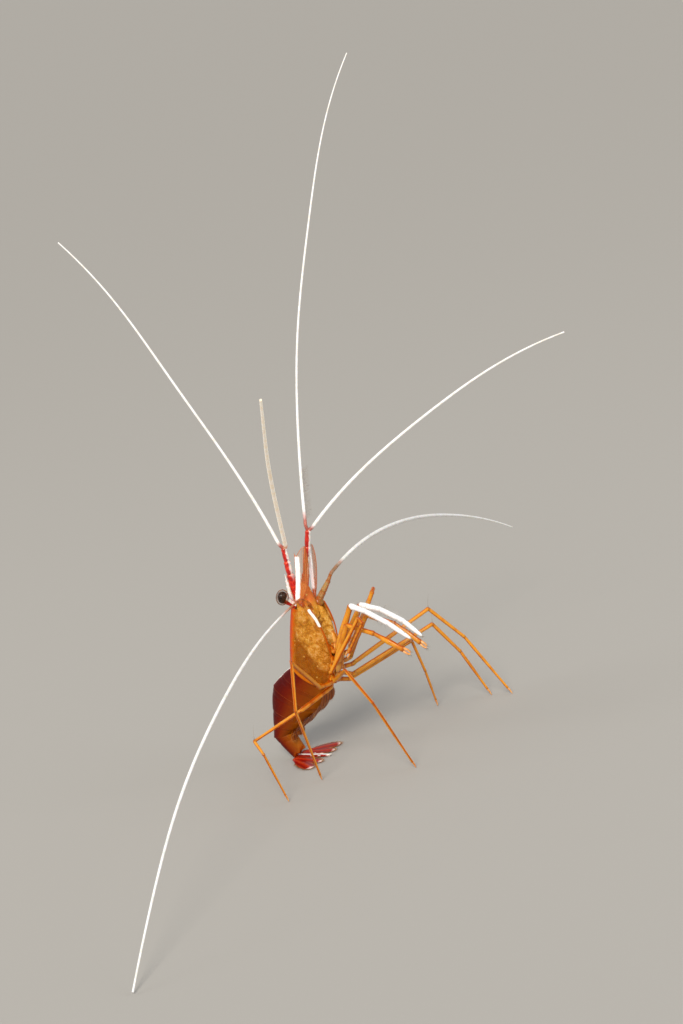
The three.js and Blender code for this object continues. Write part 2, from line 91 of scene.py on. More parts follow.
def node(tree, kind, links=None, stops=None, **settings):
    """Adds a node with its settings, colour stops and inputs: a value, a socket or a node's result."""
    made = tree.nodes.new(kind if "Node" in kind else "ShaderNode" + kind)
    for key, value in settings.items():
        setattr(made, key, value)
    if stops:
        elements = made.color_ramp.elements
        while len(elements) < len(stops):
            elements.new(1.0)
        for element, (place, colour) in zip(elements, stops):
            element.position = place
            element.color = shade(colour) if isinstance(colour, str) else (colour, colour, colour, 1)
    for key, value in (links or {}).items():
        if isinstance(value, bpy.types.Node):
            value = next(socket for socket in value.outputs if socket.enabled)
        if isinstance(value, bpy.types.NodeSocket):
            tree.links.new(value, made.inputs[key])
        else:
            made.inputs[key].default_value = value
    return made


def new_material(name, *fields):
    """An empty material, its tree, the piece's own coordinates and the fields stored on its mesh."""
    made = bpy.data.materials.new(name)
    made.use_nodes = True
    tree = made.node_tree
    tree.nodes.clear()
    place = node(tree, "TexCoord").outputs["Object"]
    stored = [node(tree, "Attribute", attribute_name=field).outputs["Fac"] for field in fields]
    return (made, tree, place, *stored)


def surfaced(made, tree, links):
    """Gives a material its surface and returns it."""
    skin = node(tree, "BsdfPrincipled", links)
    node(tree, "OutputMaterial", {"Surface": skin})
    return made


class Shape:
    """Points in millimetres, faces, material numbers and per-point fields of a piece being built."""

    def __init__(self):
        self.points, self.faces, self.kinds, self.fields, self.count = [], [], [], [], 0

    def add(self, points, faces, kind=0, **fields):
        points = np.asarray(points, float).reshape(-1, 3)
        self.points.append(points)
        self.faces += [tuple(i + self.count for i in face) for face in faces]
        self.kinds += [kind] * len(faces)
        self.fields.append({k: np.broadcast_to(np.asarray(f, float).ravel(), len(points))
                            for k, f in fields.items()})
        self.count += len(points)


def smoothed(mesh):
    """Shades a mesh smooth."""
    mesh.polygons.foreach_set("use_smooth", [True] * len(mesh.polygons))


def finished(name, shape, materials, nodes):
    """Makes the piece's mesh in metres, at the origin, riding on the animal's one body."""
    mesh = bpy.data.meshes.new(name)
    points = (np.concatenate(shape.points) + SHIFT) / 1000
    mesh.from_pydata(points.tolist(), [], shape.faces)
    for key in sorted({k for fields in shape.fields for k in fields}):
        values = np.concatenate([fields.get(key, np.zeros(len(points)))
                                 for fields, points in zip(shape.fields, shape.points)])
        mesh.attributes.new(key, "FLOAT", "POINT").data.foreach_set("value", values.astype(np.float32))
    for material in materials:
        mesh.materials.append(material)
    mesh.polygons.foreach_set("material_index", shape.kinds)
    work = bmesh.new()
    work.from_mesh(mesh)
    bmesh.ops.recalc_face_normals(work, faces=work.faces)
    work.to_mesh(mesh)
    work.free()
    smoothed(mesh)
    made = bpy.data.objects.new(name, mesh)
    bpy.context.scene.collection.objects.link(made)
    return settled(made, nodes)


def settled(made, nodes):
    """Puts the piece on the animal's one body and hides the CAD parts that it stands for."""
    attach(made, "root")
    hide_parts(*nodes)
    return made


def between(a, b, c, d, t):
    """The point at share t from b to c on the smooth curve through all four."""
    return 0.5 * (2 * b + (c - a) * t + (2 * a - 5 * b + 4 * c - d) * t ** 2
                  + (3 * b - a - 3 * c + d) * t ** 3)


CURVE_STEPS = 24                               # points on a smooth line from one given point to the next


def through(points, count):
    """A smooth line through the points, resampled evenly."""
    points = np.asarray(points, float)
    padded = np.vstack([2 * points[0] - points[1], points, 2 * points[-1] - points[-2]])
    line = [between(*padded[i:i + 4], t) for i in range(len(padded) - 3)
            for t in np.linspace(0, 1, CURVE_STEPS, endpoint=False)]
    line.append(padded[-2])
    return resampled(np.array(line), count)


def resampled(line, count):
    """The same line with its points an even distance apart."""
    steps = np.r_[0, np.cumsum(np.linalg.norm(np.diff(line, axis=0), axis=1))]
    places = np.linspace(0, steps[-1], count)
    return np.stack([np.interp(places, steps, line[:, k]) for k in range(line.shape[1])], -1)


def patch(first, last, start, end):
    """A sheet stretched between four border lines: two along it and two across its ends."""
    along = np.linspace(0, 1, len(first))[:, None, None]
    across = np.linspace(0, 1, len(start))[None, :, None]
    sheet = (1 - across) * first[:, None] + across * last[:, None]
    sheet = sheet + (1 - along) * start[None] + along * end[None]
    corners = (1 - along) * ((1 - across) * first[0] + across * last[0])
    return sheet - corners - along * ((1 - across) * first[-1] + across * last[-1])


def near(points, line):
    """Distance of each point from a line."""
    best = np.full(len(points), 1e9)
    for a, b in zip(line[:-1], line[1:]):
        t = np.clip((points - a) @ (b - a) / max((b - a) @ (b - a), 1e-12), 0, 1)
        best = np.minimum(best, np.linalg.norm(points - a - t[:, None] * (b - a), axis=1))
    return best


def rim_of(rows, columns):
    """Outline of a grid, in order: its first row, last column, last row and first column."""
    return np.r_[[*range(columns)], [i * columns + columns - 1 for i in range(1, rows)],
                 [(rows - 1) * columns + j for j in range(columns - 2, -1, -1)],
                 [i * columns for i in range(rows - 2, 0, -1)]]


def quads(rows, columns):
    """Faces of a sheet of points."""
    return [(i * columns + j, i * columns + j + 1, (i + 1) * columns + j + 1, (i + 1) * columns + j)
            for i in range(rows - 1) for j in range(columns - 1)]


CARAPACE_HALF_WIDTH = 3.5
CARAPACE_BACK = 4.95
CARAPACE_BELLY = 5.3
CARAPACE_REAR = -4.6
CARAPACE_FRONT = 15.2
SHELL_THICK = 0.16
HEM_WIDTH = 0.4                                # the thickened lower edge


def girth(u):
    """Half width, depth to the back and depth to the belly of the body at u."""
    t = (u - CARAPACE_REAR) / (CARAPACE_FRONT - CARAPACE_REAR)
    swell = 1 - 0.30 * np.clip((t - 0.45) / 0.55, 0, None) ** 1.6 - 0.08 * (1 - t) ** 3
    sink = 0.2 * np.clip((t - 0.5) / 0.5, 0, None) ** 2
    return CARAPACE_HALF_WIDTH * swell, CARAPACE_BACK * (1 - 0.5 * sink), CARAPACE_BELLY * (1 - 1.6 * sink)


def around(line):
    """A line drawn in side view as (v, u), as its angle from the middle of the back and u."""
    line = np.asarray(line, float)
    _, back, belly = girth(line[:, 1])
    ratio = np.where(line[:, 0] < 0, -line[:, 0] / back, -line[:, 0] / belly)
    return np.stack([np.arccos(np.clip(ratio, -1, 1)), line[:, 1]], -1)


REAR_EDGE = [(-4.95, 0.2), (-4.6, 0.2), (-4.0, -0.4), (-1.44, -1.7), (0.64, -2.5), (2.2, -2.95), (3.0, -2.95)]
LOWER_EDGE = [(3.0, -2.95), (3.7, -2.8), (4.5, -2.0), (5.0, -0.2), (5.15, 2.6), (4.7, 5.6), (3.8, 8.6),
              (2.6, 11.0), (1.3, 13.0)]
FRONT_EDGE = [(-4.75, 12.8), (-3.4, 12.8), (-2.6, 12.5), (-1.7, 12.65), (-1.2, 13.1), (-0.75, 13.85),
              (-0.1, 13.85), (0.6, 13.55), (1.3, 13.0)]
DASH = [(0.55, 13.05), (1.05, 12.55), (1.65, 11.93), (2.25, 11.15), (2.8, 10.25)]
CREASE = [(-1.83, 9.12), (-1.1, 9.75), (-0.42, 10.33)]

SHELL_ROWS = 110
SHELL_COLUMNS = 84

lower = around(through(LOWER_EDGE, SHELL_ROWS))
rear = around(through(REAR_EDGE, SHELL_COLUMNS))
front = around(through(FRONT_EDGE, SHELL_COLUMNS))
crown = np.stack([np.zeros(SHELL_ROWS), np.linspace(0.2, 12.8, SHELL_ROWS)], -1)
rear[0], front[0] = crown[0], crown[-1]
half_sheet = patch(crown, lower, rear, front)
angle = np.concatenate([-half_sheet[:, :0:-1, 0], half_sheet[:, :, 0]], 1)
u_shell = np.concatenate([half_sheet[:, :0:-1, 1], half_sheet[:, :, 1]], 1)
half_width, back_depth, belly_depth = girth(u_shell)
cosine = np.cos(angle)
sine = np.abs(np.sin(angle))
v_shell = -np.where(cosine > 0, back_depth, belly_depth) * cosine
hang = np.where(cosine > 0, 0, 0.5 * np.clip(-cosine, 0, 1) ** 2)
roundness = (sine ** 5.1 + hang ** 6) ** (1 / 6)
y_shell = half_width * roundness * np.sign(angle)
side_view = np.stack([v_shell.ravel(), u_shell.ravel()], -1)
margin = near(side_view, np.concatenate([through(REAR_EDGE[1:], 60), through(LOWER_EDGE, 90)]))
crease = near(side_view, np.array(CREASE))
dent = 0.16 * np.exp(-(crease / 0.22) ** 2) - 0.10 * np.exp(-((margin - HEM_WIDTH * 0.5) / 0.2) ** 2)
middle = on_body(np.zeros(side_view.shape[0]), 0, u_shell.ravel())
outer = on_body(v_shell.ravel(), y_shell.ravel(), u_shell.ravel())
inwards = middle - outer
inwards /= np.linalg.norm(inwards, axis=1)[:, None]
outer = outer + inwards * (dent + 0.02)[:, None]
columns = 2 * SHELL_COLUMNS - 1
shell = Shape()
rim = rim_of(SHELL_ROWS, columns)
size = len(outer)
thick = SHELL_THICK + 0.10 * np.exp(-(margin / 0.25) ** 2)
walls = quads(SHELL_ROWS, columns)
faces = walls + [tuple(size + i for i in face[::-1]) for face in walls]
faces += [(a, b, size + b, size + a) for a, b in zip(rim, np.roll(rim, -1))]
both = {
    "margin": margin,
    "dash": near(side_view, through(DASH, 30)),
    "crease": crease,
    "rear": near(side_view, through(REAR_EDGE, 60)),
    "back": v_shell.ravel(),
    "mid": np.abs(y_shell.ravel()),
    "ahead": u_shell.ravel(),
}
shell.add(np.concatenate([outer, outer + inwards * thick[:, None]]), faces,
          **{key: np.tile(value, 2) for key, value in both.items()})
shell.kinds = [int(max(face) >= size) for face in faces]


# Chitin, thin and waxy: clear amber that lets the flesh show, opaque where it holds red or white
# pigment. Pits finer than a tenth of a millimetre, a wet gloss, and a darker, redder hem.
def shell_material():
    made, tree, place, *sockets = new_material("carapace_chitin", *both)
    read = dict(zip(both, sockets))
    stain = node(tree, "TexNoise", {"Vector": place, "Scale": 900, "Detail": 6, "Roughness": 0.6})
    wander = node(tree, "Math", {0: stain, 1: 0.5}, operation="SUBTRACT")
    edge = {}
    for key, reach in (("back", 1.6), ("mid", 0.5), ("dash", 0.3), ("margin", 0.15), ("rear", 0.3)):
        edge[key] = node(tree, "Math", {0: wander, 1: reach, 2: read[key]}, operation="MULTIPLY_ADD")
    amber = node(tree, "ValToRGB", {"Fac": stain},
                 stops=[(0.3, "#c85c04"), (0.5, "#e8840e"), (0.7, "#f4a428")])
    red = node(tree, "MapRange", {"Value": edge["back"], "From Min": -2.5, "From Max": -3.6})
    redder = node(tree, "MapRange", {"Value": edge["back"], "From Min": -3.4, "From Max": -4.6})
    scarlet = node(tree, "Mix", {0: redder, 6: shade("#dc5c0c"), 7: shade("#bc2a06")}, data_type="RGBA")
    colour = node(tree, "Mix", {0: red, 6: amber, 7: scarlet}, data_type="RGBA")
    hem = node(tree, "MapRange", {"Value": edge["margin"], "From Min": 0.22, "From Max": 0.12, "To Max": 0.5})
    band = node(tree, "MapRange", {"Value": edge["rear"], "From Min": 1.0, "From Max": 0.7, "To Max": 0.6})
    fold = node(tree, "MapRange", {"Value": read["crease"], "From Min": 0.25, "From Max": 0.0, "To Max": 0.5})
    top = node(tree, "MapRange", {"Value": read["back"], "From Min": -3.2, "From Max": -3.8})
    stripe = node(tree, "MapRange", {"Value": edge["mid"], "From Min": 0.62, "From Max": 0.5, "To Max": top})
    dash = node(tree, "MapRange", {"Value": edge["dash"], "From Min": 0.38, "From Max": 0.26})
    white = node(tree, "Math", {0: stripe, 1: dash}, operation="MAXIMUM")
    for mask, pigment in ((hem, "#e0560c"), (band, "#e8790e"), (fold, "#8a3c0c"), (white, "#f8f6f2")):
        colour = node(tree, "Mix", {0: mask, 6: colour, 7: shade(pigment)}, data_type="RGBA")
    cover = node(tree, "MapRange", {"Value": edge["back"], "From Min": -2.2, "From Max": -3.6, "To Min": 0.18,
                                    "To Max": 0.94})
    for other in (white, hem, fold, band):
        cover = node(tree, "Math", {0: cover, 1: other}, operation="MAXIMUM")
    pits = node(tree, "TexVoronoi", {"Vector": place, "Scale": 5200}, feature="SMOOTH_F1")
    rough = node(tree, "MapRange", {"Value": stain, "To Min": 0.14, "To Max": 0.34})
    bump = node(tree, "Bump", {"Height": pits, "Strength": 0.12, "Distance": 0.00004})
    return surfaced(made, tree, {
        "Base Color": colour, "Alpha": cover, "Roughness": rough, "IOR": 1.5,
        "Specular IOR Level": 0.1, "Normal": bump})


# The membrane that lines the shield: nearly clear, with a brown backing to the dash.
def lining_material():
    made, tree, place, dash, margin = new_material("carapace_lining", "dash", "margin")
    cloud = node(tree, "TexNoise", {"Vector": place, "Scale": 800, "Detail": 6, "Roughness": 0.6})
    colour = node(tree, "ValToRGB", {"Fac": cloud}, stops=[
        (0.35, "#8a4e18"), (0.5, "#c08434"), (0.65, "#dcae62")])
    hem = node(tree, "MapRange", {"Value": margin, "From Min": 0.45, "From Max": 0.15})
    colour = node(tree, "Mix", {0: hem, 6: colour, 7: shade("#b4500f")}, data_type="RGBA")
    backing = node(tree, "MapRange", {"Value": dash, "From Min": 1.3, "From Max": 0.9, "To Min": 0.1})
    cover = node(tree, "Math", {0: backing, 1: hem}, operation="MAXIMUM")
    return surfaced(made, tree, {
        "Base Color": colour, "Alpha": cover, "Roughness": 0.4, "IOR": 1.4, "Specular IOR Level": 0.2})


carapace_chitin = shell_material()
finished("carapace_shell", shell, [carapace_chitin, lining_material()], ["carapace"])


# ---------------------------------------------------------------- flesh of the thorax
# What fills the shield: gut gland and stomach, cream and brown and lumpy, ahead of a slanting line,
# and clear dark amber muscle behind it. Pink-orange flesh bulges out in front as the head.

FLESH_INSET = 0.3
FLESH_FRONT = [(-5.2, 12.2), (-3.4, 12.5), (-2.6, 12.35), (-1.3, 12.9), (-0.5, 13.4), (0.3, 13.2),
               (1.2, 12.5), (2.0, 11.4), (3.0, 9.7), (3.9, 7.5), (4.6, 5.2), (5.0, 2.8)]
HEAD_START = 10.8
HEAD_LENGTH = 6.6
HEAD_HALF_WIDTH = 2.6
HEAD_HALF_DEPTH = 2.2
FLESH_REAR = [(-5.2, -0.8), (-4.0, -1.3), (-1.44, -2.0), (0.64, -2.7), (2.2, -3.0), (3.7, -2.7), (4.4, -1.8),
              (4.9, 0.0)]
FLESH_RINGS = 60
FLESH_AROUND = 72


def loft(rings, **fields):
    """Skin over rings of points, closed at both ends. Fields have a value for each ring and point."""
    count, points_around, _ = rings.shape
    points = np.vstack([rings.reshape(-1, 3), rings[0].mean(0), rings[-1].mean(0)])
    skin = []
    for i in range(count - 1):
        for j in range(points_around):
            k = (j + 1) % points_around
            skin.append((i * points_around + j, i * points_around + k,
                         (i + 1) * points_around + k, (i + 1) * points_around + j))
    start, end = count * points_around, count * points_around + 1
    for j in range(points_around):
        k = (j + 1) % points_around
        skin.append((start, k, j))
        skin.append((end, (count - 1) * points_around + j, (count - 1) * points_around + k))
    values = {}
    for key, field in fields.items():
        field = np.broadcast_to(field, (count, points_around))
        values[key] = np.r_[field.ravel(), field[0].mean(), field[-1].mean()]
    return points, skin, values


turn = np.linspace(0, 2 * math.pi, FLESH_AROUND, endpoint=False)[None, :]
share = np.linspace(0, 1, FLESH_RINGS)[:, None]
u = np.broadcast_to(6 + 0 * turn * share, (FLESH_RINGS, FLESH_AROUND))
for _ in range(4):
    half_width, back_depth, belly_depth = girth(u)
    v = -np.where(np.cos(turn) > 0, back_depth - FLESH_INSET, belly_depth - FLESH_INSET) * np.cos(turn)
    u_rear = np.interp(v, *np.array(FLESH_REAR).T)
    u_front = np.interp(v, *np.array(FLESH_FRONT).T)
    u = u_rear + share * (u_front - u_rear)
y = (half_width - FLESH_INSET) * np.sign(np.sin(turn)) * np.abs(np.sin(turn)) ** 0.85
ends = 1 - 0.5 * np.clip((share - 0.94) / 0.06, 0, 1) ** 2 - 0.4 * np.clip((0.05 - share) / 0.05, 0, 1) ** 2
lumps = 0.10 * np.sin(2.1 * u + 1.3 * v) * np.sin(1.7 * v - 0.8 * u) * (u > 4.2 - 1.1 * v)
rings = on_body(v * (0.5 + 0.5 * ends), y * ends * (1 + 0.3 * lumps), u)
points, faces, values = loft(rings, back=v, ahead=u)
flesh = Shape()
flesh.add(points, faces, **values)
blunt = np.sqrt(np.clip(1 - np.clip((share - 0.8) / 0.2, 0, 0.99) ** 2, 0, 1))
v = -0.9 - 1.7 * share + HEAD_HALF_DEPTH * (1 - 0.5 * share ** 1.5) * blunt * np.cos(turn)
y = HEAD_HALF_WIDTH * (1 - 0.55 * share ** 1.3) * blunt * np.sin(turn)
u = HEAD_START + HEAD_LENGTH * share
points, faces, values = loft(on_body(v, y, u), back=v + 0.6, ahead=u)
flesh.add(points, faces, **values)


# Wet soft tissue: cream, tan and brown lobes one to two millimetres across with yellow oil drops.
# Light goes into it and comes back warm, so it glows a little under the shell.
def flesh_material():
    made, tree, place, ahead, back = new_material("gut_and_muscle", "ahead", "back")
    broad = node(tree, "TexNoise", {"Vector": place, "Scale": 420, "Detail": 3, "Distortion": 0.7})
    fine = node(tree, "TexNoise", {"Vector": place, "Scale": 1500, "Detail": 8, "Roughness": 0.65,
                                   "Distortion": 0.8})
    mixed = node(tree, "Mix", {0: 0.62, 2: broad, 3: fine})
    gland = node(tree, "ValToRGB", {"Fac": mixed}, stops=[
        (0.38, "#84500c"), (0.45, "#b47822"), (0.5, "#ce9232"), (0.55, "#deaa50"), (0.62, "#eecb86")])
    muscle = node(tree, "ValToRGB", {"Fac": fine}, stops=[
        (0.3, "#5c2600"), (0.55, "#844000"), (0.75, "#ae6204")])
    slant = node(tree, "Math", {0: back, 1: 1.1, 2: ahead}, operation="MULTIPLY_ADD")
    ragged = node(tree, "Math", {0: broad, 1: 4.0, 2: slant}, operation="MULTIPLY_ADD")
    split = node(tree, "MapRange", {"Value": ragged, "From Min": 5.8, "From Max": 7.8})
    colour = node(tree, "Mix", {0: split, 6: muscle, 7: gland}, data_type="RGBA")
    head = node(tree, "MapRange", {"Value": ahead, "From Min": HEAD_START, "From Max": 12.6, "To Max": 0.5})
    snout = node(tree, "MapRange", {"Value": ahead, "From Min": 13.0, "From Max": 14.6, "To Max": 0.8})
    spine = node(tree, "MapRange", {"Value": back, "From Min": -2.0, "From Max": -3.6, "To Max": 0.6})
    waist = node(tree, "Math", {0: back, 1: 0.36, 2: ahead}, operation="MULTIPLY_ADD")
    fold = node(tree, "MapRange", {"Value": waist, "From Min": -1.5, "From Max": -2.1})
    drops = node(tree, "TexVoronoi", {"Vector": place, "Scale": 700, "Randomness": 1.0})
    oil = node(tree, "MapRange", {"Value": drops, "From Min": 0.16, "From Max": 0.08, "To Max": 0.7})
    for mask, pigment in ((head, "#f6a52e"), (snout, "#dc6c34"), (spine, "#a4440a"), (fold, "#7c2406"),
                          (oil, "#ffd678")):
        colour = node(tree, "Mix", {0: mask, 6: colour, 7: shade(pigment)}, data_type="RGBA")
    bump = node(tree, "Bump", {"Height": mixed, "Strength": 0.25, "Distance": 0.0002})
    return surfaced(made, tree, {"Base Color": colour, "Roughness": 0.45, "IOR": 1.4,
                                 "Specular IOR Level": 0.2, "Subsurface Weight": 0.2,
                                 "Subsurface Radius": (1.0, 0.45, 0.15), "Subsurface Scale": 0.0009,
                                 "Normal": bump})


gut_and_muscle = flesh_material()
finished("thorax_flesh", flesh, [gut_and_muscle], ["carapace"])


# ---------------------------------------------------------------- rostrum
# The toothed crest that rises from the carapace's back and runs out between the eyes: solid chitin,
# thin as a blade at its edge, red on top with a white streak along each side.

ROSTRUM_START = 8.6
ROSTRUM_TIP = (-6.4, 18.4)
ROSTRUM_HALF = 0.42
ROSTRUM_STATIONS = 90
UPPER_TEETH = [(10.6, 0.12), (12.0, 0.18), (13.4, 0.2), (14.7, 0.2), (15.9, 0.18), (17.0, 0.14)]
LOWER_TEETH = [(14.9, 0.12), (15.9, 0.14), (16.8, 0.12)]


def teeth(u, rows, length):
    """Height of a saw edge whose teeth point forward."""
    rise = np.zeros_like(u)
    for place, height in rows:
        t = (u - (place - length)) / length
        rise = np.maximum(rise, np.where((t > 0) & (t < 1.12), height * np.clip(t, 0, 1) ** 1.6
                                         * np.clip((1.12 - t) / 0.12, 0, 1), 0))
    return rise


u = np.linspace(ROSTRUM_START, ROSTRUM_TIP[1], ROSTRUM_STATIONS)
top = np.interp(u, [8.6, 9.6, 12.8, 15.6, 18.4], [-4.6, -4.9, -5.4, -6.0, -6.45]) - teeth(u, UPPER_TEETH, 1.0)
under = np.interp(u, [8.6, 12.2, 13.0, 13.8, 15.8, 18.4], [-3.9, -3.95, -4.05, -4.3, -5.1, -6.3])
under = under + teeth(u, LOWER_TEETH, 0.8)
width = ROSTRUM_HALF * np.interp(u, [8.6, 12.5, 15.5, 18.4], [1.1, 1.0, 0.6, 0.06])
profile = np.array([(0.0, 0.05), (0.18, 0.42), (0.38, 0.85), (0.55, 1.0), (0.75, 0.8), (0.92, 0.35),
                    (1.0, 0.05)])
ring = np.concatenate([profile, profile[::-1] * (1, -1)])
v = top[:, None] + (under - top)[:, None] * ring[None, :, 0]
y = width[:, None] * ring[None, :, 1]
points, faces, values = loft(on_body(v, y, u[:, None] + 0 * v), deep=ring[None, :, 0], ahead=u[:, None])
crest = Shape()
crest.add(points, faces, **values)


# The same chitin, thicker, with pigment right through: scarlet ridge, porcelain white flank,
# amber where it joins the back.
def rostrum_material():
    made, tree, place, deep, ahead = new_material("rostrum_chitin", "deep", "ahead")
    stain = node(tree, "TexNoise", {"Vector": place, "Scale": 2200, "Detail": 5})
    wander = node(tree, "Math", {0: stain, 1: 0.3, 2: deep}, operation="MULTIPLY_ADD")
    bands = node(tree, "ValToRGB", {"Fac": wander}, stops=[
        (0.14, "#e8a890"), (0.22, "#f6ece6"), (0.3, "#faf8f5"), (0.95, "#f8f6f2"), (1.0, "#e0a070")])
    root = node(tree, "MapRange", {"Value": ahead, "From Min": 12.4, "From Max": 11.0})
    colour = node(tree, "Mix", {0: root, 6: bands, 7: shade("#b8200a")}, data_type="RGBA")
    bump = node(tree, "Bump", {"Height": stain, "Strength": 0.2, "Distance": 0.00008})
    return surfaced(made, tree, {
        "Base Color": colour, "Roughness": 0.28, "IOR": 1.55, "Coat Weight": 0.4, "Coat Roughness": 0.1,
        "Subsurface Weight": 0.2, "Subsurface Radius": (1.0, 0.4, 0.2), "Subsurface Scale": 0.0004,
        "Normal": bump})


finished("rostrum_crest", crest, [rostrum_material()], ["carapace"])


# ---------------------------------------------------------------- eyes
# Stalked compound eyes: a clear brown cornea of tiny facets round a black core, on a short red stalk
# with a porcelain white stripe. The right eye looks out, the left one is drawn in to the rostrum.

EYE_RADIUS = 1.5
STALK_RADIUS = 0.62
EYE_STRETCH = np.array((0.84, 0.95, 1.1))      # from back to belly, across and forward
EYE_AROUND = 48
# each stalk's root and each ball's centre, as (v, y, u)
EYES = {"right": ((-3.3, -1.9, 13.15), (-4.9, -3.75, 15.2)), "left": ((-3.5, 1.2, 13.3), (-5.2, 2.6, 15.4))}


def turned(axis):
    """Two directions square to an axis and to each other."""
    axis = axis / np.linalg.norm(axis)
    helper = np.array((0.0, 0.0, 1.0)) if abs(axis[2]) < 0.9 else np.array((1.0, 0.0, 0.0))
    first = np.cross(helper, axis)
    first /= np.linalg.norm(first)
    return first, np.cross(axis, first)


def lathe(root, offset, profile, around):
    """Rings round the eye's axis, stretched as the eye is. The profile is (radius, height)."""
    axis = offset / np.linalg.norm(offset)
    first, second = turned(axis)
    spin = np.linspace(0, 2 * math.pi, around, endpoint=False)
    circle = np.cos(spin)[:, None] * first + np.sin(spin)[:, None] * second
    rings = np.array([height * axis + radius * circle for radius, height in profile]) * EYE_STRETCH + root
    return on_body(rings[..., 0], rings[..., 1], rings[..., 2])


# Cornea: clear brown chitin in facets, drawn at a tenth of a millimetre so that they show.
def cornea_material():
    made, tree, place = new_material("eye_cornea")
    facets = node(tree, "TexVoronoi", {"Vector": place, "Scale": 7000, "Randomness": 0.25})
    cloud = node(tree, "TexNoise", {"Vector": place, "Scale": 1400, "Detail": 4})
    colour = node(tree, "ValToRGB", {"Fac": cloud}, stops=[
        (0.35, "#58280a"), (0.55, "#945420"), (0.7, "#bc7c3c")])
    slope = node(tree, "LayerWeight", {"Blend": 0.5}).outputs["Facing"]
    cover = node(tree, "MapRange", {"Value": slope, "From Min": 0.3, "From Max": 0.8, "To Min": 0.1,
                                    "To Max": 0.92})
    bump = node(tree, "Bump", {"Height": facets, "Strength": 0.35, "Distance": 0.00003}, invert=True)
    return surfaced(made, tree, {
        "Base Color": colour, "Alpha": cover, "Roughness": 0.14, "IOR": 1.3, "Coat Weight": 0.1,
        "Coat Roughness": 0.04, "Normal": bump})


# Screening pigment behind the facets: almost black, with a faint brown fleck.
def core_material():
    made, tree, place = new_material("eye_pigment")
    fleck = node(tree, "TexNoise", {"Vector": place, "Scale": 2600, "Detail": 4})
    colour = node(tree, "ValToRGB", {"Fac": fleck}, stops=[
        (0.5, "#030202"), (0.64, "#0c0503"), (0.78, "#3a1c0c")])
    return surfaced(made, tree, {"Base Color": colour, "Roughness": 0.3, "IOR": 1.4})


# Stalk: scarlet flesh with a white pigment stripe along the side that faces forward and inwards.
def stalk_material():
    made, tree, place, facing = new_material("eye_stalk_skin", "facing")
    grain = node(tree, "TexNoise", {"Vector": place, "Scale": 1800, "Detail": 5})
    red = node(tree, "ValToRGB", {"Fac": grain}, stops=[
        (0.35, "#8a0c02"), (0.55, "#c41c08"), (0.7, "#e0582c")])
    wander = node(tree, "Math", {0: grain, 1: 0.5, 2: facing}, operation="MULTIPLY_ADD")
    stripe = node(tree, "MapRange", {"Value": wander, "From Min": 0.98, "From Max": 1.08})
    colour = node(tree, "Mix", {0: stripe, 6: red, 7: shade("#f6f3ee")}, data_type="RGBA")
    bump = node(tree, "Bump", {"Height": grain, "Strength": 0.3, "Distance": 0.0001})
    return surfaced(made, tree, {
        "Base Color": colour, "Roughness": 0.3, "IOR": 1.45, "Subsurface Weight": 0.25,
        "Subsurface Radius": (1.0, 0.35, 0.2), "Subsurface Scale": 0.0004, "Normal": bump})


eye_materials = [cornea_material(), core_material(), stalk_material()]
for side, (root, centre) in EYES.items():
    root, centre = np.array(root), np.array(centre)
    offset = (centre - root) / EYE_STRETCH
    reach = np.linalg.norm(offset)
    eye = Shape()
    sweep = np.radians(np.linspace(-88, 90, 40))
    ball = [(EYE_RADIUS * math.cos(a), reach + EYE_RADIUS * math.sin(a)) for a in sweep]
    ball[0] = (0.02, ball[0][1])
    ball[-1] = (0.02, ball[-1][1])
    rings = lathe(root, offset, ball, EYE_AROUND)
    eye.add(*loft(rings)[:2], kind=0)
    core = [(0.74 * EYE_RADIUS * math.cos(a), reach - 0.08 + 0.8 * EYE_RADIUS * math.sin(a)) for a in sweep]
    eye.add(*loft(lathe(root, offset, core, 32))[:2], kind=1)
    stalk = [(0.3, -0.45), (0.62, -0.3), (STALK_RADIUS, 0.2), (STALK_RADIUS * 0.98, reach * 0.25),
             (STALK_RADIUS * 1.1, reach * 0.42), (STALK_RADIUS * 1.38, reach - 0.98),
             (STALK_RADIUS * 1.55, reach - 0.78), (STALK_RADIUS * 1.6, reach - 0.62), (0.9, reach - 0.5),
             (0.3, reach - 0.45)]
    stalk = through(stalk, 30)
    rings = lathe(root, offset, stalk, EYE_AROUND)
    out = rings - rings.mean(1)[:, None]
    out /= np.linalg.norm(out, axis=2)[..., None]
    upwards = on_body(0.65, -0.35 if side == "right" else 0.35, 0.7) - BODY_ORIGIN
    points, faces, values = loft(rings, facing=out @ (upwards / np.linalg.norm(upwards)))
    eye.add(points, faces, kind=2, **values)
    finished(f"eye_{side}_globe", eye, eye_materials, [f"eye_{side}"])


# ---------------------------------------------------------------- antennule stems
# Three stout segments under the rostrum that carry a pair of feelers each: scarlet with a white
# face towards the middle, jointed like a limb, thickest just behind each joint.

# radius at the root, middle and end of each segment
STEM_RADII = [0.72, 0.82, 0.78, 0.7, 0.74, 0.7, 0.62, 0.64, 0.58]
# the bends as (u, v, y)
STEM_PATHS = {
    "right": [(13.1, -2.6, -1.0), (19.2, -4.5, -1.2), (24.5, -5.85, -1.3)],
    "left": [(13.1, -2.6, 0.95), (24.9, -1.75, 0.95), (28.25, -1.75, 1.15)],
}
STEM_SHARES = {"right": [0, 1, 1.5, 2], "left": [0, 0.5, 1, 2]}     # where the three segments part


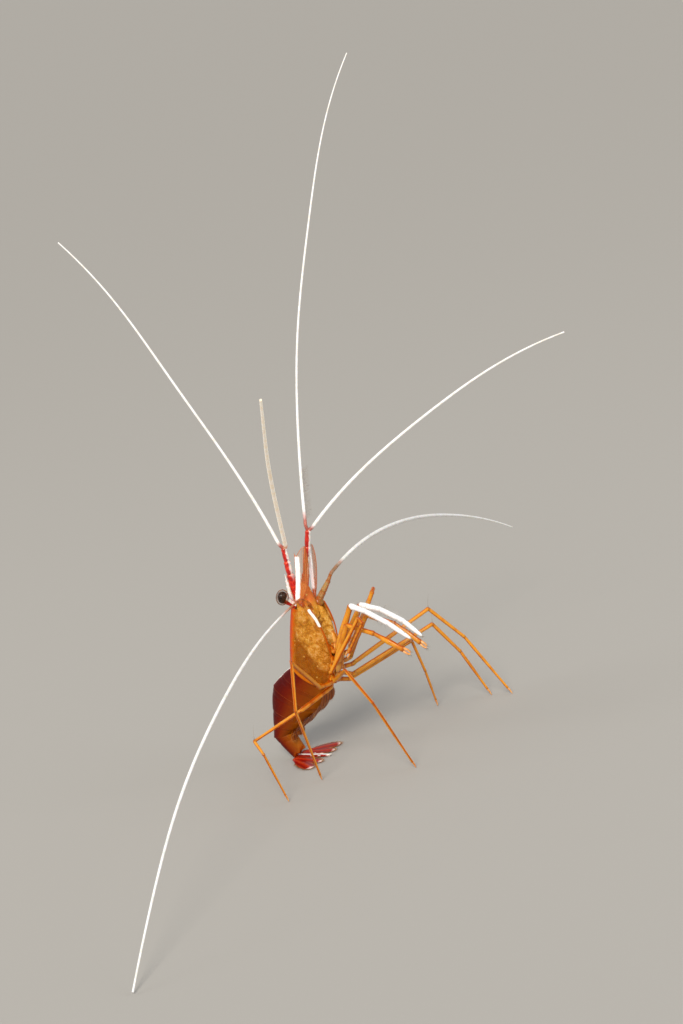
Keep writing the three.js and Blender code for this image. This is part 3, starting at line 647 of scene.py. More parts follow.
def segment(shape, start, end, radii, side, kind=0, along=0.0, oval=0.86, knob=1.14, around_count=16,
            pointed=False):
    """One closed limb segment: a neck, a swelling and a rounded knob that the next one turns in."""
    start, end, side = (np.asarray(p, float) for p in (start, end, side))
    axis = end - start
    length = np.linalg.norm(axis)
    axis /= length
    first = side - axis * (side @ axis)
    first /= np.linalg.norm(first)
    second = np.cross(axis, first)
    a, b, c = radii
    table = [(-0.55 * a, 0.2 * a), (-0.4 * a, 0.6 * a), (-0.1 * a, 0.84 * a), (0.5 * a, 0.9 * a),
             (0.18 * length, 0.97 * a), (0.5 * length, b), (0.8 * length, 0.97 * c)]
    if pointed:
        table += [(0.93 * length, 0.66 * c), (length, 0.12 * c)]
    else:
        table += [(length - 1.1 * c, c), (length - 0.5 * c, knob * c), (length, c),
                  (length + 0.3 * c, 0.7 * c), (length + 0.42 * c, 0.25 * c)]
    table = np.array(sorted(table))
    table = table[np.r_[True, np.diff(table[:, 0]) > 0.02]]
    stations = np.unique(np.r_[np.linspace(table[0, 0], table[-1, 0], 14), table[:, 0]])
    radius = np.interp(stations, *table.T)
    spin = np.linspace(0, 2 * math.pi, around_count, endpoint=False)
    rings = (start + stations[:, None, None] * axis + radius[:, None, None]
             * (oval * np.cos(spin)[None, :, None] * first + np.sin(spin)[None, :, None] * second))
    joint = np.exp(-np.clip(length - stations, 0, None) / 0.5) + np.exp(-np.clip(stations, 0, None) / 0.6)
    points, faces, values = loft(rings, flank=np.cos(spin)[None, :], along=along + stations[:, None],
                                 joint=joint[:, None])
    shape.add(points, faces, kind, **values)
    return along + length


# Thick glossy chitin full of scarlet pigment. The white face has a soft, slightly ragged border.
def stem_material():
    made, tree, place, flank, joint, along = new_material("antennule_chitin", "flank", "joint", "along")
    grain = node(tree, "TexNoise", {"Vector": place, "Scale": 1300, "Detail": 6, "Roughness": 0.6})
    red = node(tree, "ValToRGB", {"Fac": grain}, stops=[
        (0.32, "#8c0602"), (0.5, "#c41206"), (0.68, "#e23c16")])
    wander = node(tree, "Math", {0: grain, 1: 0.7, 2: flank}, operation="MULTIPLY_ADD")
    beyond = node(tree, "MapRange", {"Value": along, "From Min": 5.0, "From Max": 7.5})
    face = node(tree, "MapRange", {"Value": wander, "From Min": 1.02, "From Max": 1.22, "To Max": beyond})
    colour = node(tree, "Mix", {0: face, 6: red, 7: shade("#f6f0ea")}, data_type="RGBA")
    ring = node(tree, "MapRange", {"Value": joint, "From Min": 0.7, "From Max": 1.0, "To Max": 0.22})
    colour = node(tree, "Mix", {0: ring, 6: colour, 7: shade("#e86a30")}, data_type="RGBA")
    bump = node(tree, "Bump", {"Height": grain, "Strength": 0.25, "Distance": 0.00012})
    return surfaced(made, tree, {
        "Base Color": colour, "Roughness": 0.28, "IOR": 1.5, "Coat Weight": 0.25, "Coat Roughness": 0.08,
        "Subsurface Weight": 0.2, "Subsurface Radius": (1.0, 0.3, 0.15), "Subsurface Scale": 0.0005,
        "Normal": bump})


antennule_chitin = stem_material()
for side, bends in STEM_PATHS.items():
    points = np.array([on_body(v, y, u) for u, v, y in bends])
    spots = [points[int(s)] * (1 - s % 1) + points[min(int(s) + 1, 2)] * (s % 1) for s in STEM_SHARES[side]]
    stem = Shape()
    inner = on_body(1.0, -0.05 if side == "right" else 0.05, 0.1) - BODY_ORIGIN
    along = 0.0
    for i, (start, end) in enumerate(zip(spots[:-1], spots[1:])):
        along = segment(stem, start, end, STEM_RADII[3 * i:3 * i + 3], inner, along=along, oval=0.95,
                        knob=1.05)
    finished(f"antennule_stem_{side}_joints", stem, [antennule_chitin],
             [f"antennule_stem_{side}"])


# ---------------------------------------------------------------- feelers
# Six whips of several hundred short rings, white from end to end except where they leave their
# stems. Each is drawn as a line with a thickness, and the rings are swept along it.

FEELER_STEPS = 24
FEELER_LINE_POINTS = 160
# root as (u, v, y), length, radius at root, middle and tip, the share that is stained, its finish, and
# its course as headings (from +X towards +Y) and lifts in degrees
FEELERS = {
    "antennule_outer_right": ((24.9, -6.45, -1.6), 75.1, (0.38, 0.28, 0.15), 0.02, "scarlet",
                              [(166, 67), (180, 63), (174, 60), (187, 50)]),
    "antennule_inner_right": ((24.75, -5.55, -1.0), 66.5, (0.44, 0.42, 0.26), 0.02, "cream",
                              [(-57, 46), (-56, 40), (-54, 34), (-53, 38)]),
    "antennule_outer_left": ((28.75, -2.0, 0.8), 97.4, (0.36, 0.25, 0.13), 0.035, "scarlet",
                             [(109, 64), (94, 67), (79, 63), (76, 60), (66, 48)]),
    "antennule_inner_left": ((28.6, -1.25, 1.5), 64.9, (0.40, 0.32, 0.18), 0.02, "scarlet",
                             [(60, 35), (43, 27), (43, 20), (41, 6)]),
    "antenna_feeler_left": ((18.8, 1.85, 3.75), 83.5, (0.38, 0.42, 0.17), 0.06, "amber",
                            [(89, 13), (92, -5), (94, -15), (88, -22), (84, -31)]),
    "antenna_feeler_right": ((16.2, -0.35, -4.3), 102.6, (0.20, 0.34, 0.20), 0.085, "rust",
                             [(-89, -2), (-81, -8), (-86, -23), (-81, -31), (-82, -39)]),
}
RING_SPACING = 0.00026                         # metres from one ring to the next
RING_DEPTH = 0.10                              # share of the radius that a groove takes
FEELER_SIDES = 8


def towards(heading, lift):
    """Unit vector along a heading and a lift in degrees."""
    heading, lift = math.radians(heading), math.radians(lift)
    return np.array((math.cos(lift) * math.cos(heading), math.cos(lift) * math.sin(heading), math.sin(lift)))


def whip(root, length, turns):
    """The feeler's own line: its heading and lift pass smoothly through the given pairs."""
    keys = np.array(turns, float)
    padded = np.vstack([2 * keys[0] - keys[1], keys, 2 * keys[-1] - keys[-2]])
    line = [root]
    for i in range(FEELER_STEPS):
        place = (i + 0.5) / FEELER_STEPS * (len(keys) - 1)
        k, t = int(place), place % 1
        heading, lift = between(*padded[k:k + 4], t)
        line.append(line[-1] + towards(heading, lift) * length / FEELER_STEPS)
    return through(line, FEELER_LINE_POINTS)


def new_growth(name, **sizes):
    """A node tree with named inputs for its sizes and material, and those inputs' sockets."""
    tree = bpy.data.node_groups.new(name, "GeometryNodeTree")
    tree.interface.new_socket("Geometry", in_out="INPUT", socket_type="NodeSocketGeometry")
    for label, value in sizes.items():
        kind = "NodeSocketInt" if isinstance(value, int) else "NodeSocketFloat"
        label = label.replace("_", " ")
        tree.interface.new_socket(label, in_out="INPUT", socket_type=kind).default_value = value
    tree.interface.new_socket("Material", in_out="INPUT", socket_type="NodeSocketMaterial")
    tree.interface.new_socket("Geometry", in_out="OUTPUT", socket_type="NodeSocketGeometry")
    return tree, node(tree, "NodeGroupInput").outputs


def swept(tree, line, radius, sides):
    """A closed tube along a line, of the given radius."""
    section = node(tree, "GeometryNodeCurvePrimitiveCircle", {"Resolution": sides, "Radius": 1.0})
    return node(tree, "GeometryNodeCurveToMesh", {"Curve": line, "Profile Curve": section, "Scale": radius,
                                                  "Fill Caps": True})


def handed_out(tree, geometry, material):
    """Ends the tree with one plain mesh in its material."""
    real = node(tree, "GeometryNodeRealizeInstances", {"Geometry": geometry})
    painted = node(tree, "GeometryNodeSetMaterial", {"Geometry": real, "Material": material})
    node(tree, "NodeGroupOutput", {"Geometry": painted})
    return tree


def ringed_tree():
    """Sweeps a ringed tube along a line whose points hold their radius in the attribute named thick."""
    tree, given = new_growth("ringed_whip", Ring_spacing=0.0003, Ring_depth=0.1, Sides=8)
    line = node(tree, "GeometryNodeMeshToCurve", {"Mesh": given["Geometry"]})
    half = node(tree, "Math", {0: given["Ring spacing"], 1: 0.5}, operation="MULTIPLY")
    even = node(tree, "GeometryNodeResampleCurve", {"Curve": line, "Length": half}, mode="LENGTH")
    thick = node(tree, "GeometryNodeInputNamedAttribute", {"Name": "thick"}, data_type="FLOAT")
    odd = node(tree, "Math", {0: node(tree, "GeometryNodeInputIndex"), 1: 2.0}, operation="MODULO")
    groove = node(tree, "Math", {0: odd, 1: given["Ring depth"]}, operation="MULTIPLY")
    share = node(tree, "Math", {0: 1.0, 1: groove}, operation="SUBTRACT")
    radius = node(tree, "Math", {0: thick, 1: share}, operation="MULTIPLY")
    marked = node(tree, "GeometryNodeStoreNamedAttribute", {"Geometry": even, "Name": "groove", "Value": odd},
                  data_type="FLOAT", domain="POINT")
    return handed_out(tree, swept(tree, marked, radius, given["Sides"]), given["Material"])


def grown(name, mesh, tree, settings):
    """Runs a node tree on a mesh and returns the result as a plain mesh object."""
    seed = bpy.data.objects.new(name + "_line", mesh)
    bpy.context.scene.collection.objects.link(seed)
    modifier = seed.modifiers.new("grow", "NODES")
    modifier.node_group = tree
    for item in tree.interface.items_tree:
        if item.item_type == "SOCKET" and item.in_out == "INPUT" and item.name in settings:
            modifier[item.identifier] = settings[item.name]
    graph = bpy.context.evaluated_depsgraph_get()
    result = bpy.data.meshes.new_from_object(seed.evaluated_get(graph))
    bpy.data.objects.remove(seed)
    result.name = name
    made = bpy.data.objects.new(name, result)
    bpy.context.scene.collection.objects.link(made)
    return made


# Chitin packed with white guanine, ringed. Near the root it clears to the stain of its stem.
# A feeler given a glow shows painted light, which brightens it where the lamps leave it dull.
def feeler_material(name, white_low, white_high, stain_low, stain_high, painted_glow=0.0):
    made, tree, place, groove, stained = new_material(name, "groove", "stained")
    grain = node(tree, "TexNoise", {"Vector": place, "Scale": 900, "Detail": 5})
    white = node(tree, "ValToRGB", {"Fac": grain}, stops=[(0.35, white_low), (0.55, white_high)])
    clear = node(tree, "ValToRGB", {"Fac": grain}, stops=[(0.35, stain_low), (0.65, stain_high)])
    wander = node(tree, "Math", {0: grain, 1: 0.5, 2: stained}, operation="MULTIPLY_ADD")
    stain = node(tree, "MapRange", {"Value": wander, "From Min": 0.45, "From Max": 0.95})
    colour = node(tree, "Mix", {0: stain, 6: white, 7: clear}, data_type="RGBA")
    gap = node(tree, "Math", {0: groove, 1: 0.22}, operation="MULTIPLY")
    cover = node(tree, "MapRange", {"Value": stain, "To Min": 1.0, "To Max": 0.7})
    colour = node(tree, "Mix", {0: gap, 6: colour, 7: shade("#a88c74")}, data_type="RGBA")
    return surfaced(made, tree, {
        "Base Color": colour, "Alpha": cover, "Roughness": 0.35, "IOR": 1.5, "Subsurface Weight": 0.15,
        "Subsurface Radius": (1.0, 0.8, 0.6), "Subsurface Scale": 0.0003, "Emission Color": colour,
        "Emission Strength": painted_glow})


FEELER_FINISHES = {
    "scarlet": feeler_material("white_red_feeler", "#f2eee6", "#ffffff", "#a8160a", "#d8705a"),
    # the cream feeler glows a little: painted light
    "cream": feeler_material("cream_feeler", "#fae8cc", "#fff6e6", "#c87850", "#e8c0a0", 0.25),
    "rust": feeler_material("white_rust_feeler", "#eef0ea", "#ffffff", "#a04414", "#d8843c"),
    "amber": feeler_material("white_amber_feeler", "#eef0ea", "#ffffff", "#94703c", "#c07850"),
}
whip_tree = ringed_tree()
feeler_lines = {}
sockets = {name: STEM_PATHS[name.rsplit("_", 1)[1]][-1] for name in FEELERS if name.startswith("antennule")}
sockets["antenna_feeler_left"] = (18.5, 1.8, 3.7)
sockets["antenna_feeler_right"] = (15.9, 0.05, -3.9)
for name, (root, length, radii, stained_share, finish, turns) in FEELERS.items():
    u, v, y = sockets[name]
    line = through(np.vstack([on_body(v, y, u), whip(on_body(root[1], root[2], root[0]), length, turns)[1:]]),
                   FEELER_LINE_POINTS)
    feeler_lines[name] = line
    way = np.linspace(0, 1, len(line))
    mesh = bpy.data.meshes.new(name + "_course")
    mesh.from_pydata(((line + SHIFT) / 1000).tolist(), [(i, i + 1) for i in range(len(line) - 1)], [])
    radius = (np.interp(way, [0, 0.3, 0.6, 1], [radii[0], radii[1], radii[1] * 0.9, radii[2]])) / 1000
    stained = np.exp(-(way / stained_share) ** 2)
    for key, values in (("thick", radius), ("stained", stained)):
        mesh.attributes.new(key, "FLOAT", "POINT").data.foreach_set("value", values.astype(np.float32))
    made = grown(name + "_whip", mesh, whip_tree, {
        "Ring spacing": RING_SPACING, "Ring depth": RING_DEPTH, "Sides": FEELER_SIDES,
        "Material": FEELER_FINISHES[finish]})
    smoothed(made.data)
    settled(made, [name])


# ---------------------------------------------------------------- antenna stems
# The stout base of each long antenna: a rounded segment against the head, then clear amber ones
# with orange rims, each turning in the one before it.

# the bends as (u, v, y)
ANTENNA_STEMS = {
    "left": [(12.6, -0.3, 2.3), (14.9, 0.55, 3.0), (17.3, 1.5, 3.55), (18.6, 1.85, 3.75)],
    "right": [(13.0, 0.1, -1.2), (14.2, 0.4, -2.2), (15.2, 0.35, -3.2), (16.05, 0.0, -4.0)],
}
# each of the three segments' radii, at its root, middle and end
STEM_SIZES = {
    "left": ((0.62, 0.78, 0.72), (0.7, 0.6, 0.52), (0.45, 0.4, 0.37)),
    "right": ((0.42, 0.42, 0.36), (0.34, 0.3, 0.27), (0.26, 0.23, 0.2)),
}
# the rounded first segment against the head: its centre and half sizes, as (v, y, u)
BULBS = {"left": ((0.15, 1.95, 13.0), (1.0, 0.85, 1.3)), "right": ((-0.2, -1.3, 12.8), (0.8, 0.7, 0.9))}


# Clear amber chitin over flesh: pale along the flank, orange towards the rims and at the joints.
def limb_material(name, pale, middle, deep, cover):
    made, tree, place, flank, joint = new_material(name, "flank", "joint")
    grain = node(tree, "TexNoise", {"Vector": place, "Scale": 1100, "Detail": 6, "Roughness": 0.6})
    fibre = node(tree, "TexNoise", {"Vector": place, "Scale": 380, "Detail": 2})
    broad = node(tree, "Math", {0: flank}, operation="ABSOLUTE")
    wander = node(tree, "Math", {0: grain, 1: 0.45, 2: broad}, operation="MULTIPLY_ADD")
    colour = node(tree, "ValToRGB", {"Fac": wander}, stops=[(0.22, deep), (0.6, middle), (1.0, pale)])
    blotch = node(tree, "MapRange", {"Value": fibre, "From Min": 0.5, "From Max": 0.7, "To Max": 0.4})
    ring = node(tree, "MapRange", {"Value": joint, "From Min": 0.35, "From Max": 0.95, "To Max": 0.6})
    for mask, pigment in ((blotch, deep), (ring, deep)):
        colour = node(tree, "Mix", {0: mask, 6: colour, 7: shade(pigment)}, data_type="RGBA")
    bump = node(tree, "Bump", {"Height": grain, "Strength": 0.25, "Distance": 0.0001})
    return surfaced(made, tree, {"Base Color": colour, "Alpha": cover, "Roughness": 0.28, "IOR": 1.5,
                                 "Specular IOR Level": 0.2, "Coat Weight": 0.1, "Coat Roughness": 0.1,
                                 "Subsurface Weight": 0.3, "Subsurface Radius": (1.0, 0.45, 0.12),
                                 "Subsurface Scale": 0.0007, "Normal": bump})


antenna_chitin = {"left": limb_material("antenna_stem_chitin", "#c09858", "#a87034", "#b4561a", 0.76),
                  "right": limb_material("rust_stem_chitin", "#e89c3c", "#d87c2a", "#b8481a", 0.72)}
for side, bends in ANTENNA_STEMS.items():
    bends = [on_body(v, y, u) for u, v, y in bends]
    stem = Shape()
    outside = on_body(0.4, -1 if side == "right" else 1, 0) - BODY_ORIGIN
    along = 0.0
    for a, b, radii in zip(bends[:-1], bends[1:], STEM_SIZES[side]):
        along = segment(stem, a, b, radii, outside, along=along, knob=1.03, around_count=24)
    t = np.sin(np.linspace(-0.5, 0.5, 21) * math.pi)[:, None] * 0.999
    spin = np.linspace(0, 2 * math.pi, 28, endpoint=False)[None, :]
    centre, half = BULBS[side]
    fold = 1 + 0.09 * np.sin(7 * t + 2.2 * np.cos(spin)) + 0.05 * np.sin(3 * spin + 4 * t)
    fold = np.sqrt(1 - t ** 2) * fold
    rings = on_body(centre[0] + half[0] * fold * np.cos(spin), centre[1] + half[1] * fold * np.sin(spin),
                    centre[2] + half[2] * t)
    points, faces, values = loft(rings, flank=0.45 * np.cos(spin), joint=0.8 * t ** 2)
    stem.add(points, faces, **values)
    finished(f"antenna_stem_{side}_joints", stem, [antenna_chitin[side]],
             [f"antenna_stem_{side}"])


# ---------------------------------------------------------------- antennal scales
# Broad blades beside the antennules: a stiff outer edge that bears a thick white bar and ends in a
# spine, and a clear leaf with brown ribs, red-orange round its rim and fringed with hairs.

SCALE_LENGTH = 9.6
SCALE_WIDTH = 2.75
SCALE_FOOT = 1.3                               # its width where it is fixed
SPINE = 0.7                                    # the point at the end of the outer edge
BAR_BOW = 0.2                                  # how far the right scale's outer edge bows inwards
SCALE_COLUMNS = 40
SCALE_ROWS = 90
# side; the bar's two ends and a point its leaf turns in to, as (u, v, y); the leaf's reach past the bar
SCALES = {
    "right": (-1, (14.7, -2.05, -3.8), (24.5, -2.55, -3.0), (14.7, 1.05, -1.5), 1.9),
    "left": (1, (14.7, -1.75, 3.1), (24.2, -2.95, 3.0), (14.7, 0.8, 1.5), 0.7),
}


def bow(start, control, end, count):
    """A line bent by one control point."""
    t = np.linspace(0, 1, count)[:, None]
    return (1 - t) ** 2 * np.array(start) + 2 * t * (1 - t) * np.array(control) + t ** 2 * np.array(end)


# Thin clear chitin with three finishes by place: an opaque porcelain bar, a leaf that lets most
# light through between its brown ribs, and a rim stained red-orange.
def scale_material():
    fields = ("out", "edge", "along", "rib")
    made, tree, place, *sockets = new_material("scale_chitin", *fields)
    read = dict(zip(fields, sockets))
    grain = node(tree, "TexNoise", {"Vector": place, "Scale": 1500, "Detail": 5})
    ribs = node(tree, "MapRange", {"Value": read["rib"], "From Min": 0.25, "From Max": 0.8})
    leaf = node(tree, "Mix", {0: ribs, 6: shade("#d8944c"), 7: shade("#b0642c")}, data_type="RGBA")
    root = node(tree, "MapRange", {"Value": read["along"], "From Min": 7.0, "From Max": 2.0})
    leaf = node(tree, "Mix", {0: root, 6: leaf, 7: shade("#e0843c")}, data_type="RGBA")
    rim = node(tree, "MapRange", {"Value": read["edge"], "From Min": 0.14, "From Max": 0.06, "To Max": 0.75})
    colour = node(tree, "Mix", {0: rim, 6: leaf, 7: shade("#d05a1c")}, data_type="RGBA")
    wander = node(tree, "Math", {0: grain, 1: 0.25, 2: read["out"]}, operation="MULTIPLY_ADD")
    inner = node(tree, "MapRange", {"Value": wander, "From Min": 1.1, "From Max": 1.04})
    outer_side = node(tree, "MapRange", {"Value": wander, "From Min": 0.16, "From Max": 0.22})
    blunt = node(tree, "MapRange", {"Value": read["along"], "From Min": 9.5, "From Max": 9.3,
                                    "To Max": inner})
    foot = node(tree, "MapRange", {"Value": read["along"], "From Min": 0.2, "From Max": 0.9,
                                   "To Max": outer_side})
    bar = node(tree, "Math", {0: blunt, 1: foot}, operation="MULTIPLY")
    colour = node(tree, "Mix", {0: bar, 6: colour, 7: shade("#fafaf8")}, data_type="RGBA")
    cover = node(tree, "MapRange", {"Value": read["out"], "From Min": 1.3, "From Max": 1.9, "To Min": 0.12,
                                    "To Max": 0.42})
    clouded = node(tree, "Math", {0: root, 1: 0.6}, operation="MULTIPLY")
    for other in (bar, rim, clouded):
        cover = node(tree, "Math", {0: cover, 1: other}, operation="MAXIMUM")
    # painted light: the white bar glows a little, so that it stays white where other parts shade it
    glow = node(tree, "Math", {0: bar, 1: 0.3}, operation="MULTIPLY")
    bump = node(tree, "Bump", {"Height": grain, "Strength": 0.15, "Distance": 0.00008})
    return surfaced(made, tree, {
        "Base Color": colour, "Alpha": cover, "Roughness": 0.26, "IOR": 1.5, "Coat Weight": 0.2,
        "Coat Roughness": 0.08, "Normal": bump, "Emission Color": shade("#fafaf8"),
        "Emission Strength": glow})


scale_chitin = scale_material()
scale_rims = {}
for side, (sign, base, tip, inside, lobe) in SCALES.items():
    base = on_body(base[1], base[2], base[0])
    way = on_body(tip[1], tip[2], tip[0]) - base
    way /= np.linalg.norm(way)
    inward = on_body(inside[1], inside[2], inside[0]) - base
    inward -= way * (inward @ way)
    inward /= np.linalg.norm(inward)
    face = np.cross(inward, way)
    widest, leaf_tip = (SCALE_WIDTH, SCALE_LENGTH * 0.6), (2.1, SCALE_LENGTH + lobe)
    inner_edge = np.vstack([
        bow((SCALE_FOOT, 0), (SCALE_WIDTH * 0.85, SCALE_LENGTH * 0.2), widest, 60),
        bow(widest, (SCALE_WIDTH + 0.2, SCALE_LENGTH - 0.8), leaf_tip, 60)[1:]])
    far_edge = np.vstack([
        [(0, SCALE_LENGTH + SPINE), (0.16, SCALE_LENGTH + 0.12)],
        bow((0.45, SCALE_LENGTH), (1.2, SCALE_LENGTH + lobe * 0.9), leaf_tip, 60)])
    outer_edge = np.array([(0.0, 0.0), (0.0, SCALE_LENGTH + SPINE)])
    foot_edge = np.array([(0.0, 0.0), (SCALE_FOOT, 0.0)])
    sheet = patch(resampled(outer_edge, SCALE_ROWS), resampled(inner_edge, SCALE_ROWS),
                  resampled(foot_edge, SCALE_COLUMNS), resampled(far_edge, SCALE_COLUMNS))
    flat = sheet.reshape(-1, 2)
    rim_line = np.vstack([resampled(inner_edge, 80), resampled(far_edge, 40)[::-1], [(0.0, 0.0)]])
    edge = near(flat, rim_line)
    out = flat[:, 0]
    rib = 0.5 + 0.5 * np.cos(2 * math.pi * (out - 0.15 * flat[:, 1] * 0.1) / 0.42)
    rib = rib * np.clip((out - 1.0) / 0.3, 0, 1)
    bulge = 0.66 * np.exp(-((out - 0.42) / 0.38) ** 4) * (flat[:, 1] < SCALE_LENGTH)
    bulge = bulge + 0.06 + 0.05 * rib + 0.07 * np.exp(-(edge / 0.15) ** 2)
    bulge = bulge * np.clip(edge / 0.12, 0.35, 1)
    cup = -0.10 * (out - 1.2) ** 2 * np.clip(flat[:, 1] / SCALE_LENGTH, 0, 1)
    sway = BAR_BOW * (sign < 0) * np.sin(math.pi * np.clip(flat[:, 1] / SCALE_LENGTH, 0, 1))
    mid = base + (out + sway)[:, None] * inward + flat[:, 1:2] * way + cup[:, None] * face
    walls = quads(SCALE_ROWS, SCALE_COLUMNS)
    size = len(mid)
    faces = walls + [tuple(size + i for i in f[::-1]) for f in walls]
    rim = rim_of(SCALE_ROWS, SCALE_COLUMNS)
    faces += [(a, b, size + b, size + a) for a, b in zip(rim, np.roll(rim, -1))]
    blade = Shape()
    stored = {"out": out, "edge": edge, "along": flat[:, 1], "rib": rib}
    blade.add(np.concatenate([mid - bulge[:, None] * face * 0.5, mid + bulge[:, None] * face * 0.5]), faces,
              **{key: np.tile(field, 2) for key, field in stored.items()})
    segment(blade, on_body(-0.9, sign * 2.4, 13.6), base + inward * 0.5 + way * 0.7, (0.42, 0.45, 0.3), face,
            knob=0.8)
    scale_rims[side] = (base, inward, way, face, inner_edge, far_edge)
    finished(f"antennal_scale_{side}_blade", blade, [scale_chitin], [f"antennal_scale_{side}"])


# ---------------------------------------------------------------- underside of the thorax
# The keel between the legs: a row of pale calcified plates, one for each pair of legs, that the
# limbs' first joints hinge on.

KEEL_REAR = -2.2
KEEL_FRONT = 8.4
KEEL_RINGS = 64
PLATE_COUNT = 5                                # one for each pair of legs

share = np.linspace(0, 1, KEEL_RINGS)[:, None]
spin = np.linspace(0, 2 * math.pi, 28, endpoint=False)[None, :]
seam = np.abs(np.cos(PLATE_COUNT * math.pi * share)) ** 8
notch = 1 - 0.22 * seam
deep = (0.45 + 0.8 * np.sin(math.pi * share)) * notch
wide = (0.5 + 1.1 * np.sin(math.pi * share)) * notch
v = 4.85 + 2.58 * share - 3.31 * share ** 2 + deep * (1 + np.cos(spin)) / 2
keel = Shape()
rings = on_body(v, wide * np.sin(spin), KEEL_REAR + share * (KEEL_FRONT - KEEL_REAR))
points, faces, values = loft(rings, flank=np.abs(np.sin(spin)), joint=seam)
keel.add(points, faces, **values)
keel_chitin = limb_material("keel_chitin", "#eeb25a", "#dd8c20", "#b8600c", 1.0)
finished("sternum_plates", keel, [keel_chitin], ["sternum"])


# ---------------------------------------------------------------- third maxillipeds
# Leg-like mouthparts held out together in front: amber as far as the knee, then three segments of
# porcelain white that the client fish sees first, shaggy with bristles.

# a limb's radii beyond its hip: at each long segment's root, middle and end, which is the next one's root
MAXILLIPED_RADII = [0.68, 0.72, 0.6, 0.51, 0.5, 0.49, 0.47, 0.43, 0.34]
# root as (u, v, y), then each segment's length, heading and lift
MAXILLIPEDS = {
    "right": ((4.8, 5.5, -1.6), [(1.2, -4, 30), (10.6, -6, 59), (3.3, 0, -21), (5.2, 1, -31), (5.5, 1, -38)]),
    "left": ((4.8, 5.5, 1.6), [(1.2, 6, 30), (9.0, 8, 57), (4.4, 0, -14), (5.3, -2, -28), (4.9, -4, -41)]),
}
WHITE_FROM = 2                                 # the first white segment
HIP_RADIUS = 0.42
TIP_HAIRS = 40


def jointed(root, segments, floor=None):
    """Ends of a limb's segments. With a floor level the last one is turned down until it ends there."""
    path = [root]
    for i, (length, heading, lift) in enumerate(segments):
        if floor is not None and i == len(segments) - 1:
            lift = math.degrees(math.asin((floor - path[-1][2]) / length))
        path.append(path[-1] + towards(heading, lift) * length)
    return path


def long_segments(path, radii):
    """Each segment beyond the hip: its number, its two ends and its radii."""
    return [(i, path[i], path[i + 1], radii[2 * i - 2:2 * i + 1]) for i in range(1, len(path) - 1)]


def flank_of(path, first, second):
    """The direction square to the plane in which two of a limb's segments bend."""
    square = np.cross(path[first + 1] - path[first], path[second + 1] - path[second])
    return square / max(np.linalg.norm(square), 1e-9)


def hip(shape, root, path):
    """The limb's short first joints, swept in one bend from inside the body to the first long segment."""
    u_root, v_root, y_root = root
    line = through([on_body(v_root - 1.7, y_root * 0.25, u_root + 0.3),
                    on_body(v_root - 0.6, y_root * 0.6, u_root + 0.1), path[0], path[1],
                    path[1] + (path[2] - path[1]) * 0.05], 26)
    way = np.gradient(line, axis=0)
    way /= np.linalg.norm(way, axis=1)[:, None]
    first = np.cross(way, np.array((0.3, 0.2, 1.0)))
    first /= np.linalg.norm(first, axis=1)[:, None]
    second = np.cross(way, first)
    share = np.linspace(0, 1, len(line))
    folds = 1 - 0.10 * np.exp(-((share - 0.42) / 0.03) ** 2) - 0.10 * np.exp(-((share - 0.72) / 0.03) ** 2)
    thick = HIP_RADIUS * np.interp(share, [0, 0.3, 0.7, 0.93, 1], [1.1, 1.15, 1.1, 1.15, 0.6]) * folds
    spin = np.linspace(0, 2 * math.pi, 18, endpoint=False)
    rings = line[:, None] + thick[:, None, None] * (np.cos(spin)[None, :, None] * first[:, None]
                                                    + np.sin(spin)[None, :, None] * second[:, None])
    joints = np.exp(-((share - 0.42) / 0.05) ** 2) + np.exp(-((share - 0.72) / 0.05) ** 2)
    points, faces, values = loft(rings, flank=np.cos(spin)[None, :] * 0.7, along=share[:, None],
                                 joint=joints[:, None])
    shape.add(points, faces, 0, **values)


# Porcelain: chitin packed with white guanine, slightly blue, with painted shade in brown along one flank.
def white_material():
    made, tree, place, joint, flank = new_material("white_limb_chitin", "joint", "flank")
    grain = node(tree, "TexNoise", {"Vector": place, "Scale": 1600, "Detail": 6})
    white = node(tree, "ValToRGB", {"Fac": grain}, stops=[
        (0.3, "#eceeef"), (0.5, "#f8f9f9"), (0.7, "#ffffff")])
    ring = node(tree, "MapRange", {"Value": joint, "From Min": 0.8, "From Max": 1.0, "To Max": 0.15})
    colour = node(tree, "Mix", {0: ring, 6: white, 7: shade("#c99a6c")}, data_type="RGBA")
    # painted shade: a faint brown laid along the flank that is taken to be in shade
    wander = node(tree, "Math", {0: grain, 1: 0.5, 2: flank}, operation="MULTIPLY_ADD")
    belly = node(tree, "MapRange", {"Value": wander, "From Min": -0.7, "From Max": -0.9, "To Max": 0.12})
    colour = node(tree, "Mix", {0: belly, 6: colour, 7: shade("#9a6a48")}, data_type="RGBA")
    bump = node(tree, "Bump", {"Height": grain, "Strength": 0.25, "Distance": 0.0001})
    return surfaced(made, tree, {
        "Base Color": colour, "Roughness": 0.3, "IOR": 1.55, "Coat Weight": 0.3, "Coat Roughness": 0.12,
        "Subsurface Weight": 0.15, "Subsurface Radius": (1.0, 0.9, 0.8), "Subsurface Scale": 0.0004,
        "Normal": bump})


leg_chitin = limb_material("leg_chitin", "#e2982c", "#ca6a04", "#a43e02", 1.0)
white_chitin = white_material()
hairs = {"long": [], "fringe": [], "fine": []}


def bristle(kind, strip, share, root, aim, length):
    """Keeps one hair for later: its root, direction, length and place on the limbs' unwrapped skin."""
    hairs[kind].append((np.asarray(root, float), np.asarray(aim, float), length, strip, share))


rng = np.random.default_rng(7)


